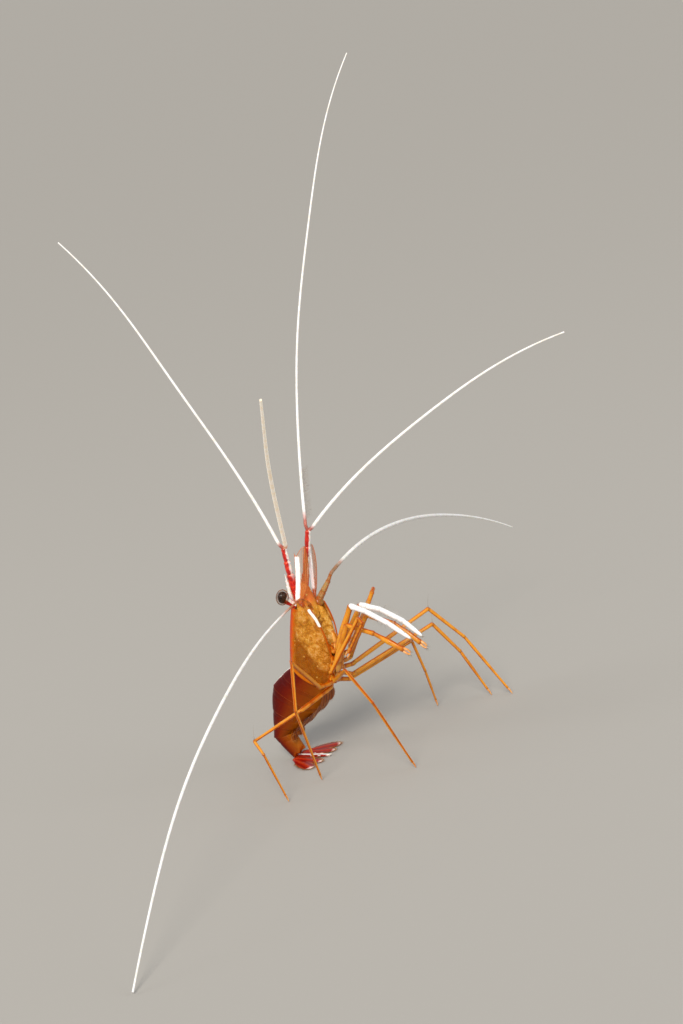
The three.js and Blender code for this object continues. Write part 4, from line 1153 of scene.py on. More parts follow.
def shaggy(kind, strip, start, end, radius, direction, spacing, length, spread, lean=0.45, skip=0.06):
    """A brush of hairs along one side of a segment, leaning towards its end."""
    axis = (end - start) / np.linalg.norm(end - start)
    direction = direction - axis * (direction @ axis)
    direction /= np.linalg.norm(direction)
    other = np.cross(axis, direction)
    count = max(1, int(np.linalg.norm(end - start) * (1 - 2 * skip) / spacing))
    for i in range(count):
        t = skip + (1 - 2 * skip) * (i + rng.random()) / count
        swing = rng.normal(0, spread)
        out = direction * math.cos(swing) + other * math.sin(swing)
        aim = out + axis * (lean + rng.normal(0, 0.12))
        bristle(kind, strip, t, start + (end - start) * t + out * radius * 0.85, aim / np.linalg.norm(aim),
                length * (0.6 + 0.8 * rng.random()))


for strip, (side, (root, segments)) in enumerate(MAXILLIPEDS.items()):
    u_root, v_root, y_root = root
    path = jointed(on_body(v_root, y_root, u_root), segments)
    flank = flank_of(path, 1, 3)
    limb = Shape()
    hip(limb, root, path)
    along = 0.0
    for i, start, end, radii in long_segments(path, MAXILLIPED_RADII):
        white = i >= WHITE_FROM
        radii = np.array(radii) * (1.1 if white else 1.0)
        along = segment(limb, start, end, radii, flank, kind=int(white), along=along, knob=1.0, oval=1.0,
                        pointed=i == len(segments) - 1)
        upper = np.cross(flank, end - start)
        upper *= math.copysign(1, upper[2]) / np.linalg.norm(upper)
        if white:
            for way, weight in ((upper, 1.0), (-upper, 0.95)):
                shaggy("long", strip, start, end, 0.5, way, 0.15, 1.3 * weight, 0.25)
        elif i == 1:
            shaggy("fine", strip, start, end, 0.5, -upper, 0.4, 0.9, 0.4)
    for i in range(TIP_HAIRS):
        aim = path[-1] - path[-2]
        aim = aim / np.linalg.norm(aim) + rng.normal(0, 0.35, 3)
        bristle("long", strip, 1.0, path[-1] - (path[-1] - path[-2]) * 0.02 * (i % 9),
                aim / np.linalg.norm(aim), 0.9)
    finished(f"maxilliped_{side}_joints", limb, [leg_chitin, white_chitin],
             [f"maxilliped_{side}"])


# ---------------------------------------------------------------- first and second legs
# The two pairs that pick parasites: each ends in a pincer with a fixed finger and a moving one. The
# second pair is long and thread-thin, with its wrist folded back beside the arm.

ARM_RADII = [0.66, 0.68, 0.56, 0.52, 0.52]
THREAD_RADII = [0.52, 0.5, 0.44, 0.42, 0.42]
WRIST_RADII = (0.4, 0.36, 0.36)
# root as (u, v, y), segments, then the pincer: heading, lift, palm, finger and radius
PINCER_LEGS = {
    "leg1_right": ((3.0, 5.8, -2.35), [(1.0, -20, 10), (9.1, -9, 59), (5.9, 3, -20)],
                   (0, -31, 6.7, 1.8, 0.58)),
    "leg1_left": ((3.0, 5.8, 2.3), [(1.4, 30, 15), (9.0, 0, 54), (6.4, 2, -20)],
                  (-4, -38, 6.3, 1.7, 0.58)),
    "leg2_right": ((1.3, 5.8, -2.8), [(1.8, -70, 5), (14.7, -3, 51), (1.3, 0, -60), (6.0, 180, -53)],
                   (180, -53, 1.3, 1.4, 0.5)),
    "leg2_left": ((1.3, 5.8, 2.7), [(1.4, 70, 5), (15.2, 10, 60), (1.5, 110, 4), (11.4, -171, -57)],
                  (-171, -57, 1.5, 1.5, 0.5)),
}
PINCER_STRIP = 2                               # their first strip of unwrapped skin
CLAW_HAIRS = 26
WRIST_RINGS = 5                                # the folded wrist's own short joints

claw_chitin = limb_material("claw_chitin", "#ffe0a4", "#f4a640", "#dc7414", 1.0)
for strip, (name, (root, segments, claw)) in enumerate(PINCER_LEGS.items(), PINCER_STRIP):
    u_root, v_root, y_root = root
    slim = name.startswith("leg2")
    path = jointed(on_body(v_root, y_root, u_root), segments)
    flank = flank_of(path, 1, len(segments) - 1)
    leg = Shape()
    hip(leg, root, path)
    along = 0.0
    for i, start, end, radii in long_segments(path, THREAD_RADII if slim else ARM_RADII):
        if slim and i == len(segments) - 1:
            stops = [start + (end - start) * k / WRIST_RINGS for k in range(WRIST_RINGS + 1)]
            for a, b in zip(stops[:-1], stops[1:]):
                along = segment(leg, a, b, WRIST_RADII, flank, along=along, knob=1.06)
        else:
            along = segment(leg, start, end, radii, flank, along=along)
        upper = np.cross(flank, end - start)
        upper /= np.linalg.norm(upper)
        for way in (upper, -upper):
            shaggy("fine", strip, start, end, 0.42, way, 0.55, 0.75, 0.6)
    heading, lift, palm, finger, radius = claw
    wrist = path[-1]
    ahead = towards(heading, lift)
    knuckle = wrist + ahead * palm
    along = segment(leg, wrist, knuckle, (radius * 0.8, radius * 1.12, radius * 0.95), flank, kind=0,
                    along=along)
    for sign, reach in ((-1, 1.0), (1, 0.94)):
        spread = towards(heading, lift + 90) * sign
        start = knuckle + spread * radius * 0.45 - ahead * 0.15
        middle = knuckle + ahead * finger * 0.6 * reach + spread * radius * 0.72
        tip = knuckle + ahead * finger * reach + spread * radius * 0.30
        segment(leg, start, middle, (radius * 0.5, radius * 0.46, radius * 0.4), flank, kind=1, knob=1.0)
        segment(leg, middle, tip, (radius * 0.4, radius * 0.34, radius * 0.26), flank, kind=1, pointed=True)
        for _ in range(CLAW_HAIRS):
            t = rng.random()
            aim = ahead * (0.7 + rng.random()) + spread * rng.normal(0.5, 0.4) + flank * rng.normal(0, 0.5)
            bristle("fine", strip, 0.9 + 0.1 * t, middle + (tip - middle) * t, aim / np.linalg.norm(aim),
                    radius * (0.9 + rng.random()))
    finished(f"{name}_joints", leg, [leg_chitin, claw_chitin], [name])


# ---------------------------------------------------------------- walking legs
# Three pairs of long jointed stilts. Each stands on a short curved claw, and carries a few stiff
# hairs, longest at the knee.

WALKING_RADII = [0.49, 0.46, 0.4, 0.37, 0.35, 0.32, 0.26]
LAST_PAIR_GIRTH = 0.82
# root as (u, v, y), then each segment's length, heading and lift; the last one's lift is found
WALKING_LEGS = {
    "leg3_right": ((0, 5.75, -2.5), [(3.1, -53, -2), (13.3, -46, 25), (8.4, 18, -62), (18.2, 73, 0)]),
    "leg3_left": ((0, 5.75, 2.5), [(2.1, 74, -10), (21.1, 64, 12), (10.5, 50, -52), (16.1, 31, 0)]),
    "leg4_right": ((-1.5, 5.6, -2.6), [(4.3, -95, 10), (15.0, -78, 40), (9.5, -99, -78), (20.4, 111, 0)]),
    "leg4_left": ((-1.5, 5.6, 2.6), [(2.5, 74, -28), (21.4, 64, 8), (9.4, 59, -57), (12.0, 42, 0)]),
    "leg5_right": ((-3.0, 4.95, -2.4), [(8.5, -103, -7), (12.5, -115, -9), (5.0, -40, -18), (11.8, 72, 0)]),
    "leg5_left": ((-3.0, 4.95, 2.4), [(2.4, 70, -21), (17.1, 67, 6), (8.1, 87, -72), (9.6, 101, 0)]),
}
CLAW_LENGTH = 1.7
WALKING_STRIP = 6
CLAW_REST = 0.06                               # height of the claw's tip above the floor

for strip, (name, (root, segments)) in enumerate(WALKING_LEGS.items(), WALKING_STRIP):
    u_root, v_root, y_root = root
    path = jointed(on_body(v_root, y_root, u_root), segments, CLAW_REST)
    flank = flank_of(path, 1, 2)
    leg = Shape()
    hip(leg, root, path)
    along = 0.0
    foot = path[-1]
    ankle = foot - (foot - path[-2]) / np.linalg.norm(foot - path[-2]) * CLAW_LENGTH
    for i, start, end, radii in long_segments(path, WALKING_RADII):
        if i == len(segments) - 1:
            end = ankle
        radii = np.array(radii) * (LAST_PAIR_GIRTH if "5" in name else 1)
        along = segment(leg, start, end, radii, flank, along=along)
        upper = np.cross(flank, end - start)
        upper *= math.copysign(1, upper[2]) / np.linalg.norm(upper)
        for way, length in ((upper, 0.55), (-upper, 0.7)):
            shaggy("fine", strip, start, end, 0.36, way, 0.8, length, 0.7, lean=0.8)
    bent = (ankle + foot) / 2 + np.array((0, 0, 0.16))
    segment(leg, ankle, bent, (0.27, 0.24, 0.2), flank, kind=1, knob=1.0)
    segment(leg, bent, foot, (0.2, 0.15, 0.1), flank, kind=1, pointed=True)
    knee = path[2]
    for length, swing in ((3.4, 0.0), (1.6, 0.25), (1.2, -0.3)):
        bristle("fine", strip, 0.5, knee, np.array((0.1 + swing, 0.05, 1.0)) / 1.05, length)
    finished(f"{name}_joints", leg, [leg_chitin, claw_chitin], [name])


# ---------------------------------------------------------------- abdomen
# Six rings of shell, each lapping over the next, with rounded lobes at the sides: crimson either
# side of a white line down the back, paling through brown to amber towards the belly.

# each joint of the abdomen in the mid plane: x and z at the back, x and z at the belly, half width
ABDOMEN = [
    ((-2.35, 20.1), (4.2, 15.5), 3.3),
    ((-4.9, 18.6), (3.7, 13.6), 3.35),
    ((-7.8, 16.3), (1.5, 10.8), 3.3),
    ((-9.2, 11.6), (-2.6, 8.4), 2.85),
    ((-10.0, 8.0), (-4.6, 6.7), 2.45),
    ((-10.7, 4.9), (-6.5, 5.6), 2.15),
    ((-7.15, 0.45), (-5.35, 2.4), 1.8),
]
BULGE = [0.2, 0.25, 0.45, 0.25, 0.2, 0.35]
FIRST_LAP = -0.22                              # how far the first ring slides in under the carapace
FLOOR_GAP = 0.02                               # what rests on the floor is this far above it
PLATE_RINGS = 26
PLATE_AROUND = 96


# Opaque glossy chitin full of red pigment, blotched where it thins, with an orange hem at each lap.
def plate_material():
    fields = ("up", "mid", "lap")
    made, tree, place, *sockets = new_material("abdomen_chitin", *fields)
    read = dict(zip(fields, sockets))
    grain = node(tree, "TexNoise", {"Vector": place, "Scale": 1200, "Detail": 7, "Roughness": 0.62})
    cloud = node(tree, "TexNoise", {"Vector": place, "Scale": 330, "Detail": 3})
    mixed = node(tree, "Mix", {0: 0.5, 2: grain, 3: cloud})
    height = node(tree, "Math", {0: mixed, 1: 0.5, 2: read["up"]}, operation="MULTIPLY_ADD")
    scaled = node(tree, "MapRange", {"Value": height, "From Min": -0.75, "From Max": 1.25})
    # these reds and browns are as dark as the shell looks in shade: partly its own deep red, partly painted
    # shade
    colour = node(tree, "ValToRGB", {"Fac": scaled}, stops=[
        (0.05, "#a65c10"), (0.25, "#8c440a"), (0.48, "#7a2c05"), (0.64, "#661403"), (0.85, "#4e0401")])
    side = node(tree, "Math", {0: grain, 1: 0.35, 2: read["mid"]}, operation="MULTIPLY_ADD")
    upper = node(tree, "MapRange", {"Value": read["up"], "From Min": 0.55, "From Max": 0.7})
    band = node(tree, "MapRange", {"Value": side, "From Min": 1.85, "From Max": 1.5, "To Max": upper})
    line = node(tree, "MapRange", {"Value": side, "From Min": 1.22, "From Max": 1.08, "To Max": upper})
    hem = node(tree, "MapRange", {"Value": read["lap"], "From Min": 0.93, "From Max": 1.0, "To Max": 0.6})
    specks = node(tree, "TexVoronoi", {"Vector": place, "Scale": 1700})
    speck = node(tree, "MapRange", {"Value": specks, "From Min": 0.14, "From Max": 0.06, "To Max": 0.3})
    for mask, pigment in ((band, "#6c0502"), (line, "#f6f2ec"), (hem, "#d0641a"), (speck, "#c8440a")):
        colour = node(tree, "Mix", {0: mask, 6: colour, 7: shade(pigment)}, data_type="RGBA")
    bump = node(tree, "Bump", {"Height": grain, "Strength": 0.22, "Distance": 0.00012})
    return surfaced(made, tree, {
        "Base Color": colour, "Roughness": 0.34, "IOR": 1.4, "Specular IOR Level": 0.12,
        "Subsurface Weight": 0.08, "Subsurface Radius": (1.0, 0.25, 0.05), "Subsurface Scale": 0.0008,
        "Normal": bump})


abdomen_chitin = plate_material()
spin = np.linspace(0, 2 * math.pi, PLATE_AROUND, endpoint=False)[None, :]
c = np.cos(spin)
narrow = 1 - 0.34 * np.clip(-c, 0, None) ** 1.5
across = narrow * np.sign(np.sin(spin)) * np.abs(np.sin(spin)) ** 0.8
reach = 0.5 + 0.5 * np.where(c < 0, -np.abs(c) ** 0.8, c)
for index in range(len(ABDOMEN) - 1):
    (bx, bz), (fx, fz), front_half = ABDOMEN[index]
    (rbx, rbz), (rfx, rfz), rear_half = ABDOMEN[index + 1]
    run = np.array((rbx - bx, rbz - bz))
    outwards = np.array((run[1], -run[0])) / np.linalg.norm(run)
    lap = np.linspace(0, 1, PLATE_RINGS)[:, None]
    lobe = 0.16 * np.exp(-((c + 0.55) / 0.22) ** 2) + 0.07 * (1 + c) / 2
    tuck = FIRST_LAP * (index == 0)
    s = tuck - 0.03 + lap * (1.04 + lobe - tuck)
    flare = (0.02 + 0.16 * np.clip((lap - 0.35) / 0.6, 0, 1) ** 1.5) * (0.35 + 0.65 * (1 + c) / 2)
    flare = flare - 0.25 * np.clip((lap - 0.96) / 0.04, 0, 1) * (0.3 + 0.35 * (1 + c))
    flare = flare - 0.12 * np.clip((0.05 - lap) / 0.05, 0, 1)
    flare = flare - 0.07 * np.exp(-((lap - 0.3) / 0.05) ** 2)
    hump = BULGE[index] * np.sin(math.pi * (0.15 + 0.75 * np.clip(s, 0, 1)))
    back_x = bx + run[0] * s + outwards[0] * hump
    back_z = bz + run[1] * s + outwards[1] * hump
    belly_x = fx + (rfx - fx) * s
    belly_z = fz + (rfz - fz) * s
    half = front_half + (rear_half - front_half) * s
    x = belly_x + (back_x - belly_x) * reach
    y = half * across
    z = belly_z + (back_z - belly_z) * reach
    middle = np.stack([x.mean(1), y.mean(1), z.mean(1)], -1)[:, None]
    rings = np.stack([x, y, z], -1)
    out = rings - middle
    out /= np.linalg.norm(out, axis=2)[..., None]
    rings = rings + out * flare[..., None]
    rings[..., 2] = np.maximum(rings[..., 2], FLOOR_GAP)
    plate = Shape()
    points, faces, values = loft(rings, up=c, mid=np.abs(y), lap=lap)
    plate.add(points, faces, **values)
    finished(f"abdomen_plate_{index + 1}", plate, [abdomen_chitin],
             [f"abdomen_ring_{index + 1}"])


# ---------------------------------------------------------------- swimmerets
# Paddles under the first five rings: a short stalk with two thin leaves, ribbed down the middle and
# fringed with swimming hairs.

SWIMMERET_LENGTH = [3.0, 3.2, 3.4, 2.4, 1.9]
SWIMMERET_TURN = math.radians(14)
SWIMMERET_OUT = 0.45
SWIMMERET_APART = 1.15                         # from the mid plane
SWIMMERET_WIDTH = 2.3
LEAF_THICK = 0.16
SWIMMERET_STRIP = 12
# share of the leaf's length and of its half width
LEAF_OUTLINE = [(0, 0.3), (0.12, 0.42), (0.35, 0.78), (0.62, 1.0), (0.85, 0.86), (0.96, 0.5), (1.0, 0.0)]


def leaf(shape, base, way, across, length, width, thick, kind=0, floor=None):
    """A thin closed leaf with a rib down its middle. Returns its rim, for the hairs."""
    face = np.cross(across, way)
    t = np.linspace(0, 1, 34)
    outline = through(LEAF_OUTLINE, 200)
    half = width / 2 * outline[:, 1][np.searchsorted(outline[:, 0], t).clip(0, 199)]
    half = np.maximum(half, 0.02)
    spin = np.linspace(0, 2 * math.pi, 28, endpoint=False)
    side = np.cos(spin)[None, :] * half[:, None]
    rib = 0.8 * np.exp(-(side / (0.09 * width)) ** 2)
    lift = thick / 2 * np.sin(spin)[None, :] * (0.55 + rib) * np.clip(half / (0.25 * width), 0.2, 1)[:, None]
    rings = base + t[:, None, None] * way * length + side[..., None] * across + lift[..., None] * face
    if floor is not None:
        rings[..., 2] = np.maximum(rings[..., 2], floor)
    points, faces, values = loft(rings, cross=side / (width / 2), way=t[:, None],
                                 edge=(half[:, None] - np.abs(side)))
    shape.add(points, faces, kind, **values)
    return base + t[:, None] * way * length, half


# Clear amber leaves with a brown rib. They let light through.
def leaf_material(name, rib_hex, leaf_hex, cover_low, cover_high):
    made, tree, place, cross = new_material(name, "cross")
    grain = node(tree, "TexNoise", {"Vector": place, "Scale": 1500, "Detail": 6})
    broad = node(tree, "Math", {0: cross}, operation="ABSOLUTE")
    wander = node(tree, "Math", {0: grain, 1: 0.4, 2: broad}, operation="MULTIPLY_ADD")
    rib = node(tree, "MapRange", {"Value": wander, "From Min": 0.5, "From Max": 0.25})
    colour = node(tree, "Mix", {0: rib, 6: shade(leaf_hex), 7: shade(rib_hex)}, data_type="RGBA")
    cover = node(tree, "MapRange", {"Value": rib, "To Min": cover_low, "To Max": cover_high})
    bump = node(tree, "Bump", {"Height": grain, "Strength": 0.2, "Distance": 0.00008})
    return surfaced(made, tree, {
        "Base Color": colour, "Alpha": cover, "Roughness": 0.42, "IOR": 1.5,
        "Specular IOR Level": 0.15, "Normal": bump})


def edged(kind, strip, line, half, way, across, start, spacing, length):
    """A fringe round a leaf's rim, from a share of its length outwards."""
    for sign in (-1, 1):
        rim = line + across * half[:, None] * sign
        rim = resampled(rim[int(start * len(rim)):], max(4, int(np.linalg.norm(rim[-1] - rim[0]) / spacing)))
        for i, root in enumerate(rim):
            share = i / (len(rim) - 1)
            aim = across * sign * (1 - share ** 2) + way * (0.6 + share) + rng.normal(0, 0.08, 3)
            bristle(kind, strip, share, root, aim / np.linalg.norm(aim), length * (0.8 + 0.4 * rng.random()))


swimmeret_chitin = leaf_material("swimmeret_chitin", "#6a2a04", "#9c4e06", 0.88, 0.97)
for index, length in enumerate(SWIMMERET_LENGTH):
    (_, front_belly, _), (_, rear_belly, _), (_, beyond_belly, _) = ABDOMEN[index:index + 3]
    run = np.array((beyond_belly[0] - front_belly[0], 0, beyond_belly[1] - front_belly[1]))
    run /= np.linalg.norm(run)
    out = np.array((-run[2], 0, run[0]))
    way = run * math.cos(SWIMMERET_TURN) + out * math.sin(SWIMMERET_TURN)
    for label, sign in (("right", -1), ("left", 1)):
        root = np.array(((front_belly[0] + rear_belly[0]) / 2, sign * SWIMMERET_APART,
                         (front_belly[1] + rear_belly[1]) / 2))
        root = root + out * SWIMMERET_OUT
        paddle = Shape()
        for turn_out, share in ((0.16, 1.0), (-0.14, 0.9)):
            lean = way * math.cos(turn_out) + np.array((0, sign, 0)) * math.sin(turn_out)
            across = np.cross(out, lean)
            across /= np.linalg.norm(across)
            start = root - way * 0.3 - out * 0.5 + np.array((0, sign * turn_out * 1.6, 0))
            line, half = leaf(paddle, start, lean, across, (length + 0.2) * share, SWIMMERET_WIDTH,
                              LEAF_THICK)
            strip = SWIMMERET_STRIP + 2 * index + (sign > 0)
            edged("fringe", strip, line, half, lean, across, 0.15, 0.10, 0.6)
        name = f"swimmeret_{index + 1}_{label}"
        finished(name + "_paddle", paddle, [swimmeret_chitin], [name])


# ---------------------------------------------------------------- tail fan
# The pointed telson with two pairs of small spines, between two pairs of blades, laid on the floor:
# crimson with white down the telson and on the blades' rims, fringed with hairs.

FAN_LENGTH = 7.6
TELSON_HALF = 1.25
BLADE_THICK = 0.34
BLADE_HINGE = (-6.6, 1.5)                      # x and y of the pair's hinges
TELSON_STRIP = 22
# degrees out from the telson, length, width and how much further out the hinge is
TAIL_BLADES = {"inner": (11, 7.2, 2.3, 0.0), "outer": (33, 7.8, 2.8, 0.5)}


# Opaque crimson chitin with a paler stripe down the middle and a white far rim.
def fan_material(name, middle):
    made, tree, place, cross, way = new_material(name, "cross", "way")
    grain = node(tree, "TexNoise", {"Vector": place, "Scale": 1300, "Detail": 6})
    broad = node(tree, "Math", {0: cross}, operation="ABSOLUTE")
    wander = node(tree, "Math", {0: grain, 1: 0.3, 2: broad}, operation="MULTIPLY_ADD")
    colour = node(tree, "ValToRGB", {"Fac": wander}, stops=[
        (0.2, middle), (0.34, middle), (0.42, "#a01006"), (0.8, "#780a04"), (0.98, "#a03014")])
    far = node(tree, "MapRange", {"Value": way, "From Min": 0.9, "From Max": 1.0, "To Max": 0.8})
    colour = node(tree, "Mix", {0: far, 6: colour, 7: shade("#f2ece4")}, data_type="RGBA")
    bump = node(tree, "Bump", {"Height": grain, "Strength": 0.25, "Distance": 0.0001})
    return surfaced(made, tree, {
        "Base Color": colour, "Roughness": 0.32, "IOR": 1.5, "Specular IOR Level": 0.25,
        "Subsurface Weight": 0.1, "Subsurface Radius": (1.0, 0.3, 0.15), "Subsurface Scale": 0.0005,
        "Normal": bump})


telson_chitin = fan_material("telson_chitin", "#f4ece4")
tail_chitin = fan_material("tail_blade_chitin", "#b03414")
tail = Shape()
t = np.linspace(0, 1, 50)
half = TELSON_HALF * np.interp(t, [0, 0.55, 0.96, 1], [1, 0.72, 0.3, 0.05])
spin = np.linspace(0, 2 * math.pi, 32, endpoint=False)
side = np.cos(spin)[None, :] * half[:, None]
rise = 0.30 + (0.20 + 0.10 * np.exp(-((side - 0.5 * half[:, None]) / 0.15) ** 2)
               + 0.10 * np.exp(-((side + 0.5 * half[:, None]) / 0.15) ** 2)) * np.sin(spin)[None, :]
ahead = TAIL_ROOT_X + t[:, None] * FAN_LENGTH + 0 * side
rings = np.stack([ahead, side, np.maximum(rise, FLOOR_GAP)], -1)
points, faces, values = loft(rings, cross=side / TELSON_HALF, way=t[:, None])
tail.add(points, faces, **values)
for place, out in ((0.45, 0.62), (0.68, 0.55), (0.97, 0.2)):
    for sign in (-1, 1):
        thorn = np.array((TAIL_ROOT_X + place * FAN_LENGTH, sign * out, 0.42))
        segment(tail, thorn, thorn + np.array((0.75, sign * 0.08, 0.06)), (0.09, 0.09, 0.07), (0, 1, 0),
                around_count=8, pointed=True)
finished("telson_plate", tail, [telson_chitin], ["telson"])
edged("fringe", TELSON_STRIP, np.stack([TAIL_ROOT_X + t * FAN_LENGTH, 0 * t, 0 * t + 0.3], -1), half,
      np.array((1.0, 0, 0)), np.array((0, 1.0, 0)), 0.6, 0.09, 0.5)

for label, sign in (("right", -1), ("left", 1)):
    for kind, (turn_out, length, width, shift) in TAIL_BLADES.items():
        swing = math.radians(sign * turn_out)
        way = np.array((math.cos(swing), math.sin(swing), 0))
        across = np.array((-math.sin(swing), math.cos(swing), 0))
        base = np.array((BLADE_HINGE[0], sign * (BLADE_HINGE[1] + shift), 0.25))
        blade = Shape()
        line, half = leaf(blade, base, way, across, length, width, BLADE_THICK, floor=FLOOR_GAP)
        strip = TELSON_STRIP + 1 + (sign > 0) + 2 * (kind == "outer")
        edged("fringe", strip, line, half, way, across, 0.3, 0.07, 0.7)
        segment(blade, base - way * 0.1, base + way * 0.8, (0.22, 0.24, 0.2), across, oval=1.5)
        name = f"tail_blade_{kind}_{label}"
        finished(name + "_leaf", blade, [tail_chitin], [name])


# ---------------------------------------------------------------- hairs
# Stiff hollow bristles of chitin, tapered and slightly bent: long and pale on the maxillipeds, in
# even fringes round the scales, swimmerets and tail, and sparse and fine on the legs and feelers.

SCALE_FRINGE = 0.11                            # from one hair to the next
SCALE_STRIP = 27
COMB_STRIP = 29
COMB_HAIRS = 90
COMB_LENGTH = 1.7
for number, (side, (base, inward, way, face, inner_edge, far_edge)) in enumerate(scale_rims.items()):
    rim = np.vstack([resampled(inner_edge, int(11 / SCALE_FRINGE)),
                     resampled(far_edge, int(4 / SCALE_FRINGE))[:4:-1]])
    for i, (a, b) in enumerate(rim):
        share = i / len(rim)
        aim = inward * (1 - 0.7 * share) + way * (0.35 + share) + face * rng.normal(0, 0.06)
        bristle("fringe", SCALE_STRIP + number, share, base + a * inward + b * way, aim / np.linalg.norm(aim),
                0.3 + 0.2 * math.sin(math.pi * min(1, share + 0.2)))

comb = feeler_lines["antennule_outer_left"]
comb_side = on_body(0.55, 0.75, 0.35) - BODY_ORIGIN
for place in np.linspace(4, 20, COMB_HAIRS):
    spot = int(place)
    root = comb[spot] + (comb[spot + 1] - comb[spot]) * (place - spot)
    aim = comb_side + rng.normal(0, 0.05, 3)
    bristle("fine", COMB_STRIP, place / 20, root + comb_side * 0.2, aim / np.linalg.norm(aim), COMB_LENGTH)


def bristle_tree():
    """Stands a bent, tapered hair on each point, along its aim and to its length, with a random roll."""
    tree, given = new_growth("bristles", Slenderness=0.03, Bend=0.15, Sides=3, Steps=3, Seed=3)
    bend = node(tree, "CombineXYZ", {"X": given["Bend"], "Z": 0.97})
    line = node(tree, "GeometryNodeCurveQuadraticBezier", {
        "Resolution": given["Steps"], "Start": (0, 0, 0), "Middle": (0, 0, 0.55), "End": bend})
    way = node(tree, "GeometryNodeSplineParameter").outputs["Factor"]
    thin = node(tree, "MapRange", {"Value": way, "To Min": 1.0, "To Max": 0.12})
    radius = node(tree, "Math", {0: thin, 1: given["Slenderness"]}, operation="MULTIPLY")
    hair = swept(tree, line, radius, given["Sides"])
    aim = node(tree, "GeometryNodeInputNamedAttribute", {"Name": "aim"}, data_type="FLOAT_VECTOR")
    size = node(tree, "GeometryNodeInputNamedAttribute", {"Name": "size"}, data_type="FLOAT")
    stand = node(tree, "FunctionNodeAlignRotationToVector", {"Vector": aim}, axis="Z")
    roll = node(tree, "FunctionNodeRandomValue", {"Seed": given["Seed"]}, data_type="FLOAT")
    whole = node(tree, "Math", {0: roll, 1: 2 * math.pi}, operation="MULTIPLY")
    spun = node(tree, "FunctionNodeAxisAngleToRotation", {"Axis": (0, 0, 1), "Angle": whole})
    rolled = node(tree, "FunctionNodeRotateRotation", {0: stand, 1: spun}, rotation_space="LOCAL")
    stood = node(tree, "GeometryNodeInstanceOnPoints", {
        "Points": given["Geometry"], "Instance": hair, "Rotation": rolled, "Scale": size})
    return handed_out(tree, stood, given["Material"])


# Chitin drawn out thin, pale and half clear. Drawn about twice as thick as life so that it shows.
def hair_material(name, low, high, cover):
    made, tree, place = new_material(name)
    grain = node(tree, "TexNoise", {"Vector": place, "Scale": 900, "Detail": 3})
    colour = node(tree, "ValToRGB", {"Fac": grain}, stops=[(0.35, low), (0.65, high)])
    return surfaced(made, tree, {"Base Color": colour, "Alpha": cover, "Roughness": 0.4, "IOR": 1.55})


TUFT_PATCH = 0.003                              # side of a hair's patch on the unwrapped skin
HAIR_STRIPS = 30
# radius as a share of length, bend, material and slot
COATS = {
    "long": (0.016, 0.16, hair_material("maxilliped_bristle", "#a09080", "#e8e2d8", 0.7), "limb_white"),
    "fringe": (0.026, 0.10, hair_material("swimming_bristle", "#a05c24", "#d09a58", 0.6), "fin_amber"),
    "fine": (0.013, 0.12, hair_material("leg_bristle", "#7a6450", "#b8a48c", 0.7), "leg_amber"),
}
hair_tree = bristle_tree()
for kind, (slenderness, bend, material, slot) in COATS.items():
    coat = hairs[kind]
    mesh = bpy.data.meshes.new(kind + "_roots")
    roots = (np.array([hair[0] for hair in coat]) + SHIFT) / 1000
    aims = np.array([hair[1] for hair in coat])
    sizes = np.array([hair[2] for hair in coat]) / 1000
    mesh.from_pydata(roots.tolist(), [], [])
    aim_field = mesh.attributes.new("aim", "FLOAT_VECTOR", "POINT").data
    aim_field.foreach_set("vector", aims.astype(np.float32).ravel())
    mesh.attributes.new("size", "FLOAT", "POINT").data.foreach_set("value", sizes.astype(np.float32))
    made = grown("bristles_" + kind, mesh, hair_tree, {
        "Slenderness": slenderness, "Bend": bend, "Sides": 3, "Steps": 3, "Seed": 11, "Material": material})
    smoothed(made.data)
    corners = len(made.data.loops) // len(coat)
    homes = np.array([((hair[3] + 0.5) / HAIR_STRIPS, 0.02 + 0.95 * hair[4]) for hair in coat])
    homes[:, 0] += rng.uniform(-0.4, 0.4, len(coat)) / HAIR_STRIPS
    spots = rng.uniform(0, TUFT_PATCH, (corners, 2))
    patches = (homes[:, None] + spots[None]).reshape(-1, 2).astype(np.float32)
    made.data.uv_layers.new(name="OFBake").data.foreach_set("uv", patches.ravel())
    settled(made, [])


# ---------------------------------------------------------------- stage
# A plain pale floor under soft studio light, and the camera at its standing place: half a metre
# off, a little above, and rolled as it was held.

CAMERA_AZIMUTH = 32
CAMERA_ELEVATION = 15
CAMERA_ROLL = 12.5
CAMERA_DISTANCE = 500
CAMERA_TARGET = np.array((8.39, 12.32, 47.80))
LENS = 87.89                                   # millimetres, on a square sensor
SENSOR = 36
FLOOR_SIDE = 20.0                              # metres
SKY_STRENGTH = 0.56

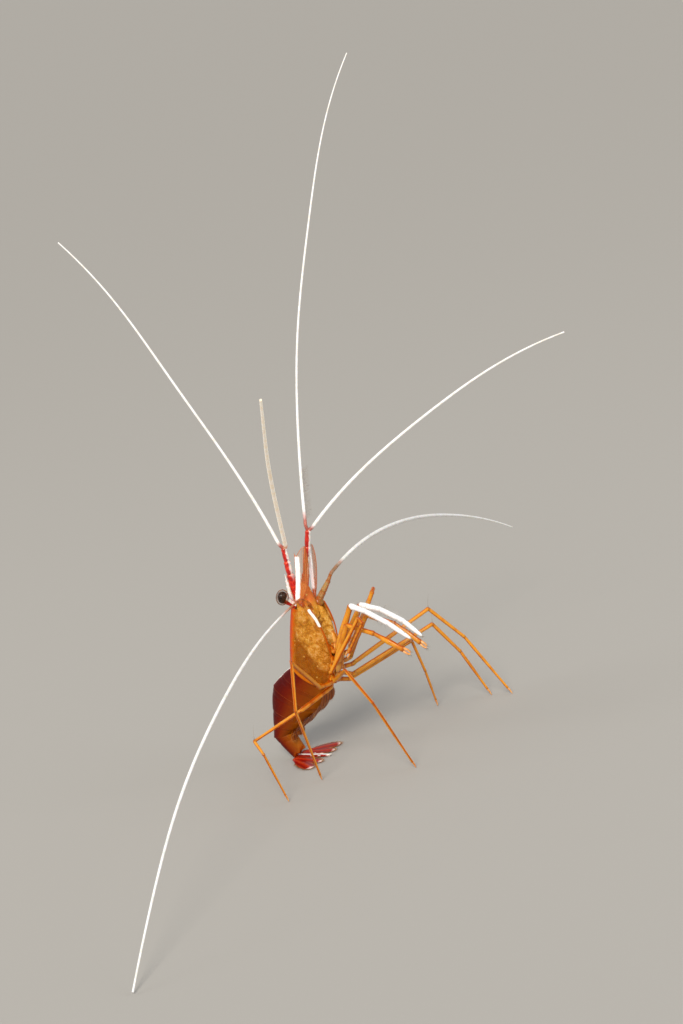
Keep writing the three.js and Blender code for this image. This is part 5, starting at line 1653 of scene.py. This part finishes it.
floor_mesh = bpy.data.meshes.new("floor")
half_side = FLOOR_SIDE / 2
corners = [(x * half_side, y * half_side, 0) for x, y in ((-1, -1), (1, -1), (1, 1), (-1, 1))]
floor_mesh.from_pydata(corners, [], [(0, 1, 2, 3)])
floor = bpy.data.objects.new("floor", floor_mesh)
bpy.context.scene.collection.objects.link(floor)
paper, tree, _ = new_material("matt_paper")
floor_mesh.materials.append(surfaced(paper, tree, {"Base Color": shade("#a9a6a0"), "Roughness": 0.9}))
floor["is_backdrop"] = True

swing, lift = math.radians(CAMERA_AZIMUTH), math.radians(CAMERA_ELEVATION)
behind = Vector((math.sin(swing) * math.cos(lift), -math.cos(swing) * math.cos(lift), math.sin(lift)))
level = Vector((math.cos(swing), math.sin(swing), 0))
upright = behind.cross(level)
roll = math.radians(CAMERA_ROLL)
right = level * math.cos(roll) - upright * math.sin(roll)
above = behind.cross(right)
target = Vector((CAMERA_TARGET + SHIFT) / 1000)
camera = bpy.data.objects.new("camera", bpy.data.cameras.new("camera"))
camera.data.lens = LENS
camera.data.sensor_width = camera.data.sensor_height = SENSOR
camera.data.clip_start = 0.01
camera.data.clip_end = 100
turn_matrix = Matrix((right, above, behind)).transposed().to_4x4()
camera.matrix_world = Matrix.Translation(target + behind * CAMERA_DISTANCE / 1000) @ turn_matrix
bpy.context.scene.collection.objects.link(camera)
bpy.context.scene.camera = camera

# a soft key above the camera, and two broad panels that draw highlights on the shell: each one's kind,
# place, size, strength and colour
body_middle = Vector((on_body(0, 0, 8.0) + SHIFT) / 1000)
LIGHTS = {
    "key": ("SUN", (0.26, -0.70, 0.66), 0.40, 2.7, "#fff8ee"),
    "panel_left": ("AREA", (-0.42, -0.30, 0.30), 0.22, 0.55, "#ffffff"),
    "panel_right": ("AREA", (0.50, 0.10, 0.34), 0.30, 0.6, "#f2f6ff"),
}
for name, (kind, place, size, strength, colour) in LIGHTS.items():
    lamp = bpy.data.lights.new(name, kind)
    if kind == "SUN":
        lamp.angle = size
    else:
        lamp.size = size
    lamp.energy = strength
    lamp.color = shade(colour)[:3]
    made = bpy.data.objects.new(name, lamp)
    made.location = place
    made.rotation_euler = (body_middle - Vector(place)).to_track_quat("-Z", "Y").to_euler()
    bpy.context.scene.collection.objects.link(made)

sky = bpy.data.worlds.new("studio")
sky.use_nodes = True
glow = sky.node_tree.nodes["Background"].inputs
glow["Color"].default_value = shade("#f2f3f5")
glow["Strength"].default_value = SKY_STRENGTH
bpy.context.scene.world = sky
bpy.context.scene.view_settings.view_transform = "Standard"

sizes = {"cad": CAD_BOX, "visual": [list(corner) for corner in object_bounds()]}
